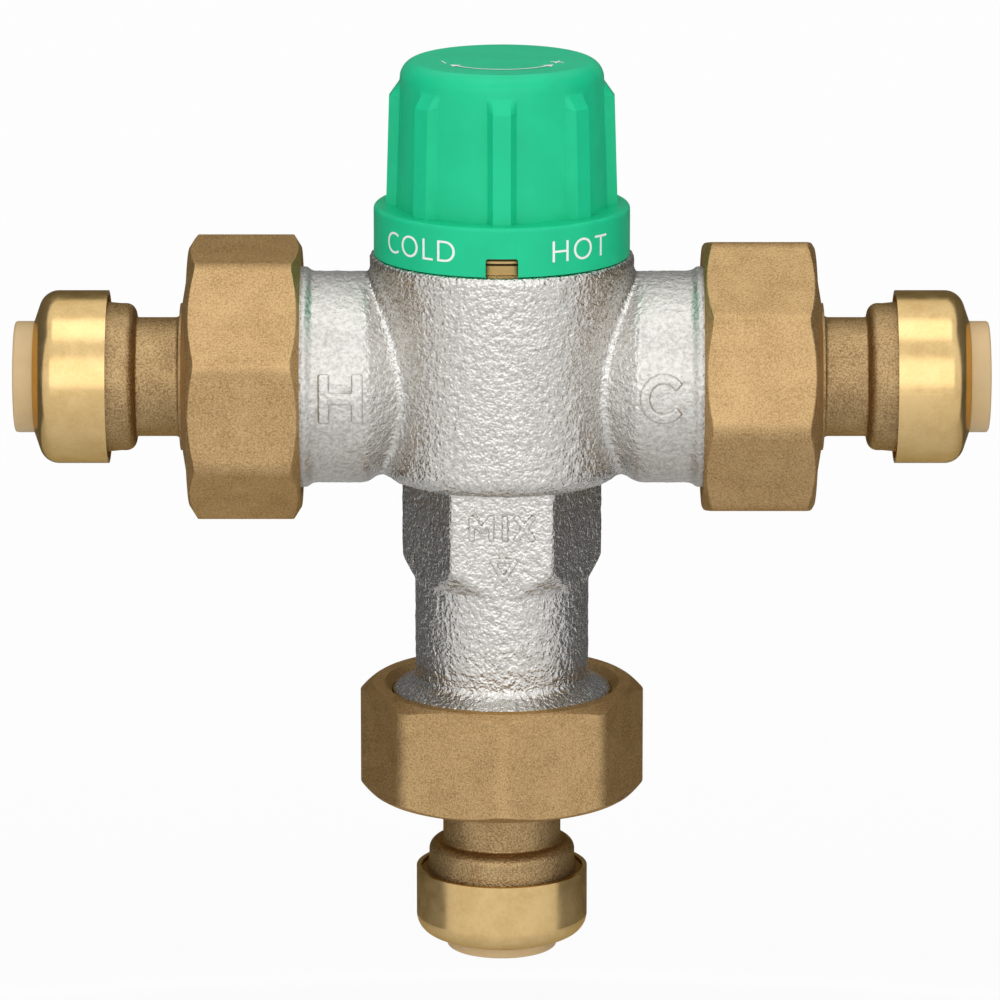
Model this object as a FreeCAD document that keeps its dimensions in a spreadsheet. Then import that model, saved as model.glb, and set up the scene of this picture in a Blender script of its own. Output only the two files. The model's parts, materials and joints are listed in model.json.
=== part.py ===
"""Mixing valve with three push-fit ports: cold and hot in at the sides, mixed water out below.

Lengths are millimetres. The origin is the centre of the tube stop in the outlet, +Z points up
along the valve, +X points to the cold inlet and -Y to the front.

Each port piece is drawn once, along its own Z axis. That axis starts at the valve's centre line
and runs out through the port, so a height in those sketches is a distance from the centre line.
The pieces that stand upright are drawn from the level of the inlets.
"""
import FreeCAD
import Part
import Sketcher
import math
import os
from FreeCAD import Placement, Rotation, Vector

doc = FreeCAD.newDocument("MixingValve")
sheet = doc.addObject("Spreadsheet::Sheet", "Sizes")


# ---------------------------------------------------------------- sizes
class Size:
    """A length that keeps the formula it comes from, so a sketch can be bound to it."""

    def __init__(self, value, text):
        self.value = float(value)
        self.text = text

    def _join(self, sign, other, value, turned=False):
        other_text = other.text if isinstance(other, Size) else repr(float(other))
        left, right = (other_text, self.text) if turned else (self.text, other_text)
        return Size(value, "(%s %s %s)" % (left, sign, right))

    def __add__(self, other):
        return self._join("+", other, self.value + plain(other))

    def __sub__(self, other):
        return self._join("-", other, self.value - plain(other))

    def __rsub__(self, other):
        return self._join("-", other, plain(other) - self.value, turned=True)

    def __mul__(self, other):
        return self._join("*", other, self.value * plain(other))

    def __truediv__(self, other):
        return self._join("/", other, self.value / plain(other))

    def __neg__(self):
        return Size(-self.value, "(0 - %s)" % self.text)

    __radd__ = __add__
    __rmul__ = __mul__


def plain(size):
    return size.value if isinstance(size, Size) else float(size)


def sin(angle):
    return Size(math.sin(math.radians(plain(angle))), "sin(%s)" % angle.text)


def cos(angle):
    return Size(math.cos(math.radians(plain(angle))), "cos(%s)" % angle.text)


def tan(angle):
    return Size(math.tan(math.radians(plain(angle))), "tan(%s)" % angle.text)


def sized(name, value, note):
    """Write one named size into the sheet and return it."""
    sized.row += 1
    sheet.set("A%d" % sized.row, name)
    sheet.set("B%d" % sized.row, repr(value))
    sheet.set("C%d" % sized.row, note)
    sheet.setAlias("B%d" % sized.row, name)
    return Size(value, "Sizes.%s" % name)


sized.row = 0

# clearances
seat_gap = sized("seat_gap", 0.05, "between faces that bear on each other")
turn_gap = sized("turn_gap", 0.1, "radial, round what turns or slides")
screw_gap = sized("screw_gap", 0.1, "radial, between a plain male and female thread")
loose_gap = sized("loose_gap", 0.3, "radial, a hole that only clears what passes")
stop_gap = sized("stop_gap", 0.1, "left at the end of a travel")

# tube and port bores
tube_r = sized("tube_r", 7.94, "half of the 15.88 mm tube")
tube_gap = sized("tube_gap", 0.11, "radial, tube in its guide bore")
guide_len = sized("guide_len", 10.1, "guide bore beyond the tube stop")
waterway_r = sized("waterway_r", 6.75, "bore behind the tube stop")

# body casting, outside
barrel_top = sized("barrel_top", 20.65, "above the inlets")
barrel_drop = sized("barrel_drop", 16.0, "underside below the inlets")
barrel_r_top = sized("barrel_r_top", 21.5, "at the top edge")
barrel_r_low = sized("barrel_r_low", 20.6, "at the underside")
barrel_round = sized("barrel_round", 3.0, "round of the lower edge")
barrel_edge = sized("barrel_edge", 0.5, "round of the top edge")
arm_r = sized("arm_r", 17.25, "cast arm")
arm_len = sized("arm_len", 41.3, "end face from the centre line")
male_r = sized("male_r", 18.0, "crest of the thread on the body")
male_len = sized("male_len", 9.7, "threaded length of an arm")
male_flare = sized("male_flare", 0.7, "run-up to the thread on an arm")
male_edge = sized("male_edge", 0.7, "chamfer of the first thread")
block_af = sized("block_af", 28.5, "hexagon under the barrel, across flats")
block_drop = sized("block_drop", 29.5, "where its turned taper starts")
block_taper = sized("block_taper", 4.0, "length of that taper")
stem_r = sized("stem_r", 14.2, "round neck of the outlet")
outlet_drop = sized("outlet_drop", 18.75, "outlet port further out than the inlets")
outlet_male_len = sized("outlet_male_len", 7.85, "threaded length of the outlet")
outlet_cone = sized("outlet_cone", 1.9, "flare from the neck to the thread")
outlet_fillet = sized("outlet_fillet", 1.6, "round where the neck meets the flare")

# body casting, inside
bore_r = sized("bore_r", 13.6, "main bore")
land_half = sized("land_half", 1.8, "half of the land that parts hot from cold")
gallery_r = sized("gallery_r", 16.5, "ring channel round the piston")
gallery_out = sized("gallery_out", 9.0, "its far edge from the inlet level")
seat_half = sized("seat_half", 6.5, "each seat from the inlet level")
seat_back = sized("seat_back", 0.2, "lower seat ring inside the main bore")
chamber_r = sized("chamber_r", 10.8, "mixing chamber")
chamber_drop = sized("chamber_drop", 28.0, "spring ledge below the inlets")
outlet_r = sized("outlet_r", 8.4, "bore down to the outlet")
pocket_r = sized("pocket_r", 11.1, "pocket of the check valve")
pocket_start = sized("pocket_start", 24.0, "its floor from the centre line")
window_half = sized("window_half", 7.0, "half width of the way into the channel")
seal_step_r = sized("seal_step_r", 15.5, "step for the seal under the bonnet")
seal_step_h = sized("seal_step_h", 2.4, "its depth")

# union: washer, tail and nut
washer_t = sized("washer_t", 1.95, "flat washer")
washer_inset = sized("washer_inset", 1.0, "its edge inside the thread's crest")
washer_bore_r = sized("washer_bore_r", 8.6, "inside")
flange_inset = sized("flange_inset", 0.4, "tail's collar inside the thread's crest")
flange_t = sized("flange_t", 3.0, "its thickness")
hub_r = sized("hub_r", 12.0, "tail where it passes through the nut")
neck_r = sized("neck_r", 9.7, "neck of the tail")
neck_len = sized("neck_len", 7.2, "neck between hub and shoulder")
neck_round = sized("neck_round", 0.9, "round where the neck meets the hub")
shoulder_r = sized("shoulder_r", 12.0, "shoulder of the tail")
shoulder_round = sized("shoulder_round", 1.7, "its rounded edge")
shoulder_end_r = sized("shoulder_end_r", 12.25, "where it runs into the sleeve")
stop_step = sized("stop_step", 8.0, "tube stop beyond the collar")
rim_pocket_r = sized("rim_pocket_r", 9.3, "seat for the strainer rim")
rim_pocket = sized("rim_pocket", 1.2, "its depth")
nut_af = sized("nut_af", 43.6, "octagon, across flats")
nut_round = sized("nut_round", 4.0, "round of its corners")
nut_web = sized("nut_web", 4.5, "end wall")
nut_len = sized("nut_len", 18.3, "without its boss")
nut_boss_r = sized("nut_boss_r", 18.6, "foot of the turned cone on the end")
nut_boss = sized("nut_boss", 1.0, "its height")
nut_mouth_open = sized("nut_mouth_open", 1.3, "chamfer at the mouth")
nut_mouth = sized("nut_mouth", 1.2, "its depth")
nut_front_r = sized("nut_front_r", 21.2, "turned chamfer starts here, body side")
nut_back_r = sized("nut_back_r", 21.0, "turned chamfer starts here, tube side")
nut_slope = sized("nut_slope", 32.0, "degrees, of both chamfers")
nut_turn_hot = sized("nut_turn_hot", 39.2, "degrees, how the nut came to rest")
nut_turn_cold = sized("nut_turn_cold", 32.5, "degrees, how the nut came to rest")
nut_turn_out = sized("nut_turn_out", 22.5, "degrees, how the nut came to rest")

# push-fit end
seal_len = sized("seal_len", 2.6, "ring that seals on the tube")
seal_pocket_r = sized("seal_pocket_r", 10.6, "its pocket")
spacer_len = sized("spacer_len", 2.2, "ring between seal and teeth")
spacer_pocket_r = sized("spacer_pocket_r", 11.8, "pocket of spacer and teeth")
grip_t = sized("grip_t", 0.6, "thickness of the toothed ring")
grip_flat_r = sized("grip_flat_r", 9.9, "where its teeth begin")
grip_lean = sized("grip_lean", 0.9, "how far the teeth lean in")
grip_count = sized("grip_count", 12, "teeth")
grip_slot = sized("grip_slot", 9.0, "degrees, slot between two teeth")
socket_r = sized("socket_r", 13.3, "end of the tail, inside the sleeve")
sleeve_lap = sized("sleeve_lap", 0.5, "sleeve reaches past the socket's back")
sleeve_r = sized("sleeve_r", 14.1, "sleeve outside")
sleeve_round = sized("sleeve_round", 3.2, "its domed end")
sleeve_dome = sized("sleeve_dome", 1.7, "how far the dome leans")
sleeve_core_r = sized("sleeve_core_r", 10.9, "room for the collet's collar")
sleeve_lip = sized("sleeve_lip", 1.95, "thickness of its lip")
sleeve_lip_r = sized("sleeve_lip_r", 10.15, "where the dome ends")
collet_wall = sized("collet_wall", 0.925, "collet")
collet_gap = sized("collet_gap", 0.21, "radial, tube in the collet")
collet_collar_r = sized("collet_collar_r", 10.2, "collar that keeps it in")
collet_collar = sized("collet_collar", 1.0, "its thickness")
collet_nose = sized("collet_nose", 0.85, "from collar to teeth side")
collet_travel = sized("collet_travel", 2.0, "push to let the tube go")
collet_proud = sized("collet_proud", 3.2, "stands out of the sleeve")
collet_edge = sized("collet_edge", 0.5, "round of its end")
collet_set = sized("collet_set", 1.6, "outlet collet rests pushed in")

# check valve and strainer
check_gap = sized("check_gap", 0.1, "round the cartridge and at its ends")
check_wall = sized("check_wall", 1.4, "cartridge")
check_seat = sized("check_seat", 2.7, "seat ring at the outer end")
check_seat_r = sized("check_seat_r", 7.0, "its bore")
check_foot = sized("check_foot", 1.9, "inner end to the web")
check_web = sized("check_web", 3.0, "web that guides the stem")
check_guide_r = sized("check_guide_r", 3.6, "middle of that web")
check_windows = sized("check_windows", 3, "ways through the web")
check_window = sized("check_window", 92.0, "degrees, each of them")
poppet_travel = sized("poppet_travel", 3.5, "opening of the check valve")
poppet_r = sized("poppet_r", 8.2, "disc")
poppet_t = sized("poppet_t", 0.9, "disc thickness")
poppet_stem_r = sized("poppet_stem_r", 1.5, "stem")
poppet_nose_r = sized("poppet_nose_r", 5.6, "boss that carries the ring")
poppet_nose = sized("poppet_nose", 1.9, "its length")
check_ring_t = sized("check_ring_t", 1.1, "rubber ring on the disc")
check_spring_r = sized("check_spring_r", 2.9, "middle of the wire")
check_wire = sized("check_wire", 0.6, "wire")
check_turns = sized("check_turns", 4.0, "turns")
strainer_t = sized("strainer_t", 0.5, "strainer wall")
strainer_rim = sized("strainer_rim", 0.9, "rim thickness")
strainer_cup_r = sized("strainer_cup_r", 5.4, "cup outside")
strainer_len = sized("strainer_len", 9.0, "depth of the cup")
strainer_slots = sized("strainer_slots", 8, "slots round the cup")
strainer_slot = sized("strainer_slot", 24.0, "degrees, each slot")
strainer_end = sized("strainer_end", 1.6, "left plain at both ends of a slot")

# bonnet and its seal
bonnet_r = sized("bonnet_r", 18.6, "head of the bonnet")
bonnet_h = sized("bonnet_h", 6.8, "its height")
bonnet_edge = sized("bonnet_edge", 0.6, "chamfer of the head")
bonnet_neck_r = sized("bonnet_neck_r", 10.0, "neck round the spindle")
bonnet_neck = sized("bonnet_neck", 8.5, "its height")
snap_h = sized("snap_h", 1.2, "groove for the cap's bead")
snap_at = sized("snap_at", 3.0, "groove above the head's underside")
snap_deep = sized("snap_deep", 0.6, "its depth")
key_w = sized("key_w", 2.2, "keys inside the cap")
key_deep = sized("key_deep", 1.3, "keys into the head")
key_gap = sized("key_gap", 0.2, "round each key")
key_count = sized("key_count", 4, "keys")

# spindle
spindle_r = sized("spindle_r", 4.0, "shaft")
spindle_collar_r = sized("spindle_collar_r", 6.0, "collar under the neck")
spindle_collar = sized("spindle_collar", 2.0, "its thickness")
spindle_screw_r = sized("spindle_screw_r", 4.5, "adjusting thread")
spindle_screw = sized("spindle_screw", 6.2, "its length")
spindle_shank_r = sized("spindle_shank_r", 3.1, "plain part under the splines")
spindle_head = sized("spindle_head", 3.4, "splined head")
spindle_free = sized("spindle_free", 4.6, "head above the neck")
spline_deep = sized("spline_deep", 0.6, "splines")
spline_count = 12
ring_groove_at = sized("ring_groove_at", 1.6, "seal above the head")
ring_groove_h = sized("ring_groove_h", 2.0, "seal groove")
ring_groove_deep = sized("ring_groove_deep", 1.1, "seal groove")
clip_t = sized("clip_t", 0.8, "retaining ring")
clip_r = sized("clip_r", 5.8, "retaining ring outside")
clip_deep = sized("clip_deep", 0.7, "its groove")
clip_slot = sized("clip_slot", 60.0, "degrees, opening of the ring")

# adjusting piece, overload and thermal element
pusher_af = sized("pusher_af", 18.0, "hexagon that slides and cannot turn")
pusher_rise = sized("pusher_rise", 2.5, "its foot above the upper seat")
pusher_len = sized("pusher_len", 13.0, "length")
pusher_wall_top = sized("pusher_wall_top", 6.0, "threaded part")
pusher_core_r = sized("pusher_core_r", 6.4, "room for the overload spring")
pusher_lip = sized("pusher_lip", 0.5, "rolled lip at its foot")
pusher_lip_r = sized("pusher_lip_r", 5.4, "inside of that lip")
adjust_travel = sized("adjust_travel", 0.75, "each way, half a turn of the spindle")
cup_t = sized("cup_t", 1.3, "flange of the overload cup")
cup_core_r = sized("cup_core_r", 3.2, "middle of the cup")
cup_core = sized("cup_core", 2.4, "its height above the flange")
overload_wire = sized("overload_wire", 0.9, "wire")
overload_turns = sized("overload_turns", 3.0, "turns")
rod_r = sized("rod_r", 1.6, "push rod")
rod_in_cup = sized("rod_in_cup", 0.9, "seat in the cup")
capsule_r = sized("capsule_r", 5.5, "thermal element")
capsule_len = sized("capsule_len", 23.0, "below its collar")
capsule_tip = sized("capsule_tip", 1.5, "rounded end")
capsule_collar_r = sized("capsule_collar_r", 7.2, "collar")
capsule_collar = sized("capsule_collar", 1.9, "its thickness")
capsule_neck_r = sized("capsule_neck_r", 3.4, "guide of the rod")
capsule_neck = sized("capsule_neck", 4.1, "guide above the collar")
thermal_travel = sized("thermal_travel", 0.6, "each way, element against the cup")

# piston and spring
piston_gap = sized("piston_gap", 0.2, "radial, in the main bore")
piston_half = sized("piston_half", 5.0, "half height")
piston_wall = sized("piston_wall", 2.4, "ring")
piston_web = sized("piston_web", 3.0, "spokes' thickness")
piston_web_top = sized("piston_web_top", 1.0, "spokes' top below the inlet level")
piston_hub = sized("piston_hub", 1.9, "wall of the hub")
piston_windows = sized("piston_windows", 4, "ways between the spokes")
piston_window = sized("piston_window", 68.0, "degrees, each of them")
piston_ring_half = sized("piston_ring_half", 1.2, "half height of the seal groove")
piston_ring_deep = sized("piston_ring_deep", 1.2, "seal groove")
spring_r = sized("spring_r", 9.6, "middle of the wire")
spring_wire = sized("spring_wire", 1.2, "wire")
spring_turns = sized("spring_turns", 5.0, "turns")

# cap
cap_lift = sized("cap_lift", 0.1, "skirt above the body")
skirt_h = sized("skirt_h", 8.0, "skirt")
skirt_wall = sized("skirt_wall", 1.7, "skirt wall")
skirt_gap = sized("skirt_gap", 0.5, "radial, round the bonnet")
skirt_edge = sized("skirt_edge", 0.7, "round of its top edge")
skirt_roof_gap = sized("skirt_roof_gap", 0.3, "over the bonnet")
cap_h = sized("cap_h", 23.75, "above the skirt")
cap_r_low = sized("cap_r_low", 17.25, "wall at the skirt")
cap_r_top = sized("cap_r_top", 16.45, "wall at the top")
cap_round = sized("cap_round", 2.2, "round of the top edge")
cap_wall = sized("cap_wall", 2.0, "wall")
cap_roof = sized("cap_roof", 2.2, "top")
rib_count = sized("rib_count", 8, "grip ribs")
rib_low = sized("rib_low", 1.55, "rib over the wall, at the skirt")
rib_high = sized("rib_high", 1.6, "rib over the wall, near the top")
rib_crest = sized("rib_crest", 2.0, "width of the crest")
rib_base = sized("rib_base", 4.6, "width of the foot")
rib_h = sized("rib_h", 17.75, "full rib above the skirt")
rib_end = sized("rib_end", 2.4, "sloped end")
rib_sink = sized("rib_sink", 0.6, "rib foot inside the wall")
notch_w = sized("notch_w", 5.2, "pry notch")
notch_h = sized("notch_h", 3.0, "its height")
notch_round = sized("notch_round", 0.5, "its upper corners")
socket_wall = sized("socket_wall", 2.2, "wall of the spline socket")
socket_gap = sized("socket_gap", 0.4, "radial, free room over the splines")
socket_ring = sized("socket_ring", 2.4, "toothed length")
spline_gap = sized("spline_gap", 0.12, "round the splines")

doc.recompute()

# ---------------------------------------------------------------- places that several pieces share
guide_r = tube_r + tube_gap
washer_r = male_r - washer_inset
flange_r = male_r - flange_inset
nut_mouth_r = male_r + nut_mouth_open
ring_bore_r = guide_r + seat_gap * 0.4
washer_u0 = arm_len + seat_gap
washer_u1 = washer_u0 + washer_t
flange_u0 = washer_u1 + seat_gap
flange_u1 = flange_u0 + flange_t
nut_u1 = flange_u1 + seat_gap + nut_web
nut_u0 = nut_u1 - nut_len
stop_u = flange_u1 + stop_step
seal_u0 = stop_u + guide_len
seal_u1 = seal_u0 + seal_len + seat_gap * 4
spacer_u1 = seal_u1 + seat_gap + spacer_len
grip_u0 = spacer_u1 + seat_gap
grip_u1 = grip_u0 + grip_t
tail_u1 = grip_u1 + seat_gap
sleeve_step_u = tail_u1 + seat_gap
collet_u0 = grip_u1 + collet_travel + stop_gap
collar_u0 = collet_u0 + collet_nose
collar_u1 = collar_u0 + collet_collar
lip_u0 = collar_u1 + seat_gap
sleeve_u1 = lip_u0 + sleeve_lip
hub_u1 = nut_u1 + nut_boss + seat_gap * 8
shoulder_u0 = hub_u1 + neck_len
shoulder_u1 = shoulder_u0 + shoulder_round * 1.5
centre_height = outlet_drop + stop_u

check_u0 = pocket_start + check_gap
check_u1 = arm_len - check_gap
check_r = pocket_r - check_gap
check_core_r = check_r - check_wall
check_web_u0 = check_u0 + check_foot
check_web_u1 = check_web_u0 + check_web
check_seat_u = check_u1 - check_seat
poppet_u1 = check_seat_u - stop_gap - check_ring_t
poppet_u0 = poppet_u1 - poppet_t

head_z0 = barrel_top + seat_gap
head_z1 = head_z0 + bonnet_h
neck_z1 = head_z1 + bonnet_neck
pusher_z0 = seat_half + pusher_rise
pusher_z1 = pusher_z0 + pusher_len
key_z1 = pusher_z1 + adjust_travel + stop_gap * 3
collar_z0 = key_z1 + stop_gap
collar_z1 = collar_z0 + spindle_collar
groove_z0 = head_z1 + ring_groove_at
groove_z1 = groove_z0 + ring_groove_h
clip_z0 = neck_z1 + seat_gap * 2
clip_z1 = clip_z0 + clip_t
spline_z0 = neck_z1 + spindle_free
spline_z1 = spline_z0 + spindle_head
spline_root_r = spindle_r - spline_deep
screw_z0 = pusher_z1 - spindle_screw + stop_gap * 8
core_z1 = pusher_z1 - pusher_wall_top
cup_z0 = pusher_z0 + pusher_lip + seat_gap
cup_z1 = cup_z0 + cup_t
rod_z1 = cup_z0 + rod_in_cup - seat_gap

piston_r = bore_r - piston_gap
piston_core_r = piston_r - piston_wall
web_z1 = -piston_web_top
web_z0 = web_z1 - piston_web
element_z0 = web_z1 + seat_gap
element_z1 = element_z0 + capsule_collar
rod_z0 = element_z0 + thermal_travel + stop_gap * 6
rod_hole_r = rod_r + turn_gap
element_hole_z = rod_z0 - thermal_travel - stop_gap * 2

skirt_z0 = barrel_top + cap_lift
skirt_z1 = skirt_z0 + skirt_h
cap_z1 = skirt_z1 + cap_h
roof_z = cap_z1 - cap_roof
skirt_core_r = bonnet_r + skirt_gap
skirt_r = skirt_core_r + skirt_wall
skirt_core_z = head_z1 + skirt_roof_gap
socket_z0 = clip_z1 + stop_gap * 4
socket_z1 = socket_z0 + socket_ring
socket_core_r = spindle_r + socket_gap


# ---------------------------------------------------------------- drawing helpers
def part_body(node, lift, turn=Rotation()):
    """A body named after its node, lifted above the outlet's tube stop and turned to its port."""
    body = doc.addObject("PartDesign::Body", node)
    body.Placement = Placement(Vector(0, 0, plain(lift)), turn)
    body.setExpression("Placement.Base.z", lift.text)
    bodies.append(body)
    return body


bodies = []
TO_HOT = Rotation(Vector(0, -1, 0), Vector(0, 0, 1), Vector(-1, 0, 0), "ZXY")
TO_COLD = Rotation(Vector(0, -1, 0), Vector(0, 0, -1), Vector(1, 0, 0), "ZXY")
TO_OUTLET = Rotation(Vector(0, -1, 0), Vector(-1, 0, 0), Vector(0, 0, -1), "ZXY")


def plane_of(body, role):
    return [f for f in body.Origin.OriginFeatures if f.Role == role][0]


def sketch_on(body, name, role, out=None, turn=None):
    """An empty sketch on one of the body's own planes, moved out along its normal and turned."""
    sketch = body.newObject("Sketcher::SketchObject", name)
    sketch.AttachmentSupport = [(plane_of(body, role), "")]
    sketch.MapMode = "FlatFace"
    angle = 0.0 if turn is None else plain(turn)
    height = 0.0 if out is None else plain(out)
    sketch.AttachmentOffset = Placement(Vector(0, 0, height), Rotation(Vector(0, 0, 1), angle))
    if out is not None:
        sketch.setExpression("AttachmentOffset.Base.z", out.text)
    if turn is not None:
        sketch.setExpression("AttachmentOffset.Rotation.Angle", turn.text)
    return sketch


def pin(sketch, geometry, end, corner):
    """Hold one end of a line at its corner, each way by a formula."""
    for kind, axis, size in (("DistanceX", -2, corner[0]), ("DistanceY", -1, corner[1])):
        if isinstance(size, Size):
            number = sketch.addConstraint(
                Sketcher.Constraint(kind, -1, 1, geometry, end, size.value))
            sketch.setExpression("Constraints[%d]" % number, size.text)
        else:
            sketch.addConstraint(Sketcher.Constraint("PointOnObject", geometry, end, axis))


def draw(sketch, corners):
    """Close a loop through the corners; a third value in a corner is the radius that rounds it."""
    count = len(corners)
    places = [Vector(plain(c[0]), plain(c[1]), 0) for c in corners]
    rounds = [c[2] if len(c) > 2 else None for c in corners]
    leave, arrive = list(places), list(places)
    arcs = {}
    for i, size in enumerate(rounds):
        if size is None:
            continue
        here, before, after = places[i], places[i - 1], places[(i + 1) % count]
        one, two = (before - here).normalize(), (after - here).normalize()
        half = one.getAngle(two) / 2
        reach = plain(size) / math.tan(half)
        arrive[i], leave[i] = here + one * reach, here + two * reach
        middle = here + (one + two).normalize() * (plain(size) / math.sin(half))
        arcs[i] = (middle, arrive[i], leave[i])
    lines = [
        sketch.addGeometry(Part.LineSegment(leave[i], arrive[(i + 1) % count]), False)
        for i in range(count)
    ]
    for i in range(count):
        before = lines[i - 1]
        if i not in arcs:
            sketch.addConstraint(Sketcher.Constraint("Coincident", before, 2, lines[i], 1))
            pin(sketch, lines[i], 1, corners[i])
            continue
        middle, start, end = arcs[i]
        first_angle = math.atan2(start.y - middle.y, start.x - middle.x)
        last_angle = math.atan2(end.y - middle.y, end.x - middle.x)
        first, last = 1, 2
        if (last_angle - first_angle) % (2 * math.pi) > math.pi:
            first, last = 2, 1
            first_angle, last_angle = last_angle, first_angle
        circle = Part.Circle(middle, Vector(0, 0, 1), plain(rounds[i]))
        arc = sketch.addGeometry(Part.ArcOfCircle(circle, first_angle, last_angle), False)
        corner = sketch.addGeometry(Part.Point(places[i]), True)
        pin(sketch, corner, 1, corners[i])
        sketch.addConstraint(Sketcher.Constraint("Tangent", before, 2, arc, first))
        sketch.addConstraint(Sketcher.Constraint("Tangent", lines[i], 1, arc, last))
        sketch.addConstraint(Sketcher.Constraint("PointOnObject", corner, 1, before))
        sketch.addConstraint(Sketcher.Constraint("PointOnObject", corner, 1, lines[i]))
        number = sketch.addConstraint(
            Sketcher.Constraint("Radius", arc, plain(rounds[i])))
        if isinstance(rounds[i], Size):
            sketch.setExpression("Constraints[%d]" % number, rounds[i].text)
    return sketch


def spin(body, name, corners, cut=False, axis="V_Axis", angle=None):
    """Turn a half section about the axis, as metal to add or to take away."""
    sketch = draw(sketch_on(body, name + "_section", "XZ_Plane"), corners)
    kind = "PartDesign::Groove" if cut else "PartDesign::Revolution"
    turned = body.newObject(kind, name)
    turned.Profile = sketch
    turned.ReferenceAxis = (sketch, [axis])
    turned.Angle = 360.0 if angle is None else plain(angle)
    if angle is not None:
        turned.Midplane = True
        turned.setExpression("Angle", angle.text)
    return turned


def raise_or_cut(body, name, corners, length, cut=False, role="XY_Plane", out=None, turn=None):
    """Pad or pocket a closed outline; a pocket runs against the plane's normal."""
    sketch = draw(sketch_on(body, name + "_outline", role, out, turn), corners)
    made = body.newObject("PartDesign::Pocket" if cut else "PartDesign::Pad", name)
    made.Profile = sketch
    made.Length = plain(length)
    made.setExpression("Length", length.text)
    return made


def around(body, name, feature, count):
    """Repeat a feature evenly about the body's own Z axis."""
    pattern = body.newObject("PartDesign::PolarPattern", name)
    pattern.Originals = [feature]
    pattern.Axis = (plane_of(body, "Z_Axis"), [""])
    pattern.Angle = 360.0
    pattern.Occurrences = int(plain(count))
    pattern.setExpression("Occurrences", count.text)
    body.Tip = pattern
    return pattern


def coil(body, name, radius, wire, start, end, turns):
    """A spring of square wire between two levels."""
    half = wire / 2
    sketch = draw(sketch_on(body, name + "_wire", "XZ_Plane"), [
        (radius - half, start), (radius + half, start),
        (radius + half, start + wire), (radius - half, start + wire)])
    helix = body.newObject("PartDesign::AdditiveHelix", name)
    helix.Profile = sketch
    helix.ReferenceAxis = (sketch, ["V_Axis"])
    helix.Mode = 2  # height and turns
    height = end - start - wire
    helix.Height = plain(height)
    helix.setExpression("Height", height.text)
    helix.Turns = plain(turns)
    helix.setExpression("Turns", turns.text)
    return helix


def box_corners(x0, x1, y0, y1, rounding=None):
    corners = [(x0, y0), (x1, y0), (x1, y1), (x0, y1)]
    return corners if rounding is None else [c + (rounding,) for c in corners]


def hexagon(across):
    half = across / 2
    point = across / math.sqrt(3)
    return [(point, 0.0), (point / 2, half), (-(point / 2), half),
            (-point, 0.0), (-(point / 2), -half), (point / 2, -half)]


def octagon(across, rounding):
    half = across / 2
    side = half * math.tan(math.pi / 8)
    return [c + (rounding,) for c in (
        (half, -side), (half, side), (side, half), (-side, half),
        (-half, side), (-half, -side), (-side, -half), (side, -half))]


def star(crest, root, count):
    """A splined outline with flat-topped teeth, crest and root taking turns."""
    corners = []
    step = 360.0 / count
    for i in range(count):
        for part, radius in ((-0.30, root), (-0.14, crest), (0.14, crest), (0.30, root)):
            angle = math.radians((i + part) * step)
            corners.append((radius * math.cos(angle), radius * math.sin(angle)))
    return corners


# ---------------------------------------------------------------- body casting
def make_valve_body():
    body = part_body("valve_body", centre_height)
    spin(body, "barrel", [
        (0.0, barrel_top), (barrel_r_top, barrel_top, barrel_edge),
        (barrel_r_low, -barrel_drop, barrel_round), (0.0, -barrel_drop)])
    spin(body, "arms", [
        (-arm_len, 0.0), (-arm_len, male_r - male_edge), (male_edge - arm_len, male_r),
        (male_len - arm_len, male_r), (male_len + male_flare - arm_len, arm_r),
        (arm_len - male_len - male_flare, arm_r), (arm_len - male_len, male_r),
        (arm_len - male_edge, male_r), (arm_len, male_r - male_edge), (arm_len, 0.0)],
        axis="H_Axis")
    raise_or_cut(body, "block", hexagon(block_af), block_drop + block_taper,
                 out=-(block_drop + block_taper))
    wide = block_af * 0.7
    spin(body, "block_turned", [
        (wide, -block_drop), (block_af / math.sqrt(3), -block_drop),
        (stem_r, -(block_drop + block_taper)), (stem_r, -(block_drop + block_taper * 2)),
        (wide, -(block_drop + block_taper * 2))], cut=True)
    end = -(arm_len + outlet_drop)
    spin(body, "outlet_neck", [
        (0.0, -barrel_drop), (stem_r, -barrel_drop),
        (stem_r, end + outlet_male_len + outlet_cone, outlet_fillet),
        (male_r, end + outlet_male_len),
        (male_r, end + male_edge), (male_r - male_edge, end), (0.0, end)])

    spin(body, "inside", [
        (0.0, barrel_top), (seal_step_r, barrel_top), (seal_step_r, barrel_top - seal_step_h),
        (bore_r, barrel_top - seal_step_h), (bore_r, gallery_out), (gallery_r, gallery_out),
        (gallery_r, land_half), (bore_r, land_half), (bore_r, -land_half),
        (gallery_r, -land_half), (gallery_r, -gallery_out), (bore_r - seat_back, -gallery_out),
        (bore_r - seat_back, -seat_half), (chamber_r, -seat_half), (chamber_r, -chamber_drop),
        (outlet_r, -chamber_drop), (outlet_r, end), (0.0, end)], cut=True)
    for side, name in ((-1, "hot"), (1, "cold")):
        near, far = (pocket_start, arm_len) if side > 0 else (-arm_len, -pocket_start)
        spin(body, name + "_pocket", box_corners(near, far, 0.0, pocket_r), cut=True,
             axis="H_Axis")
        # the way in: hot to the lower ring channel, cold to the upper one
        low, high = (-gallery_out, -land_half) if side < 0 else (land_half, gallery_out)
        length = pocket_start - gallery_r + seat_back * 10
        # the pocket's sketch plane is the body's YZ plane, so it runs towards -X
        out = pocket_start + seat_back * 5 if side > 0 else -(gallery_r - seat_back * 5)
        raise_or_cut(body, name + "_window", box_corners(-window_half, window_half, low, high),
                     length, cut=True, role="YZ_Plane", out=out)


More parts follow.
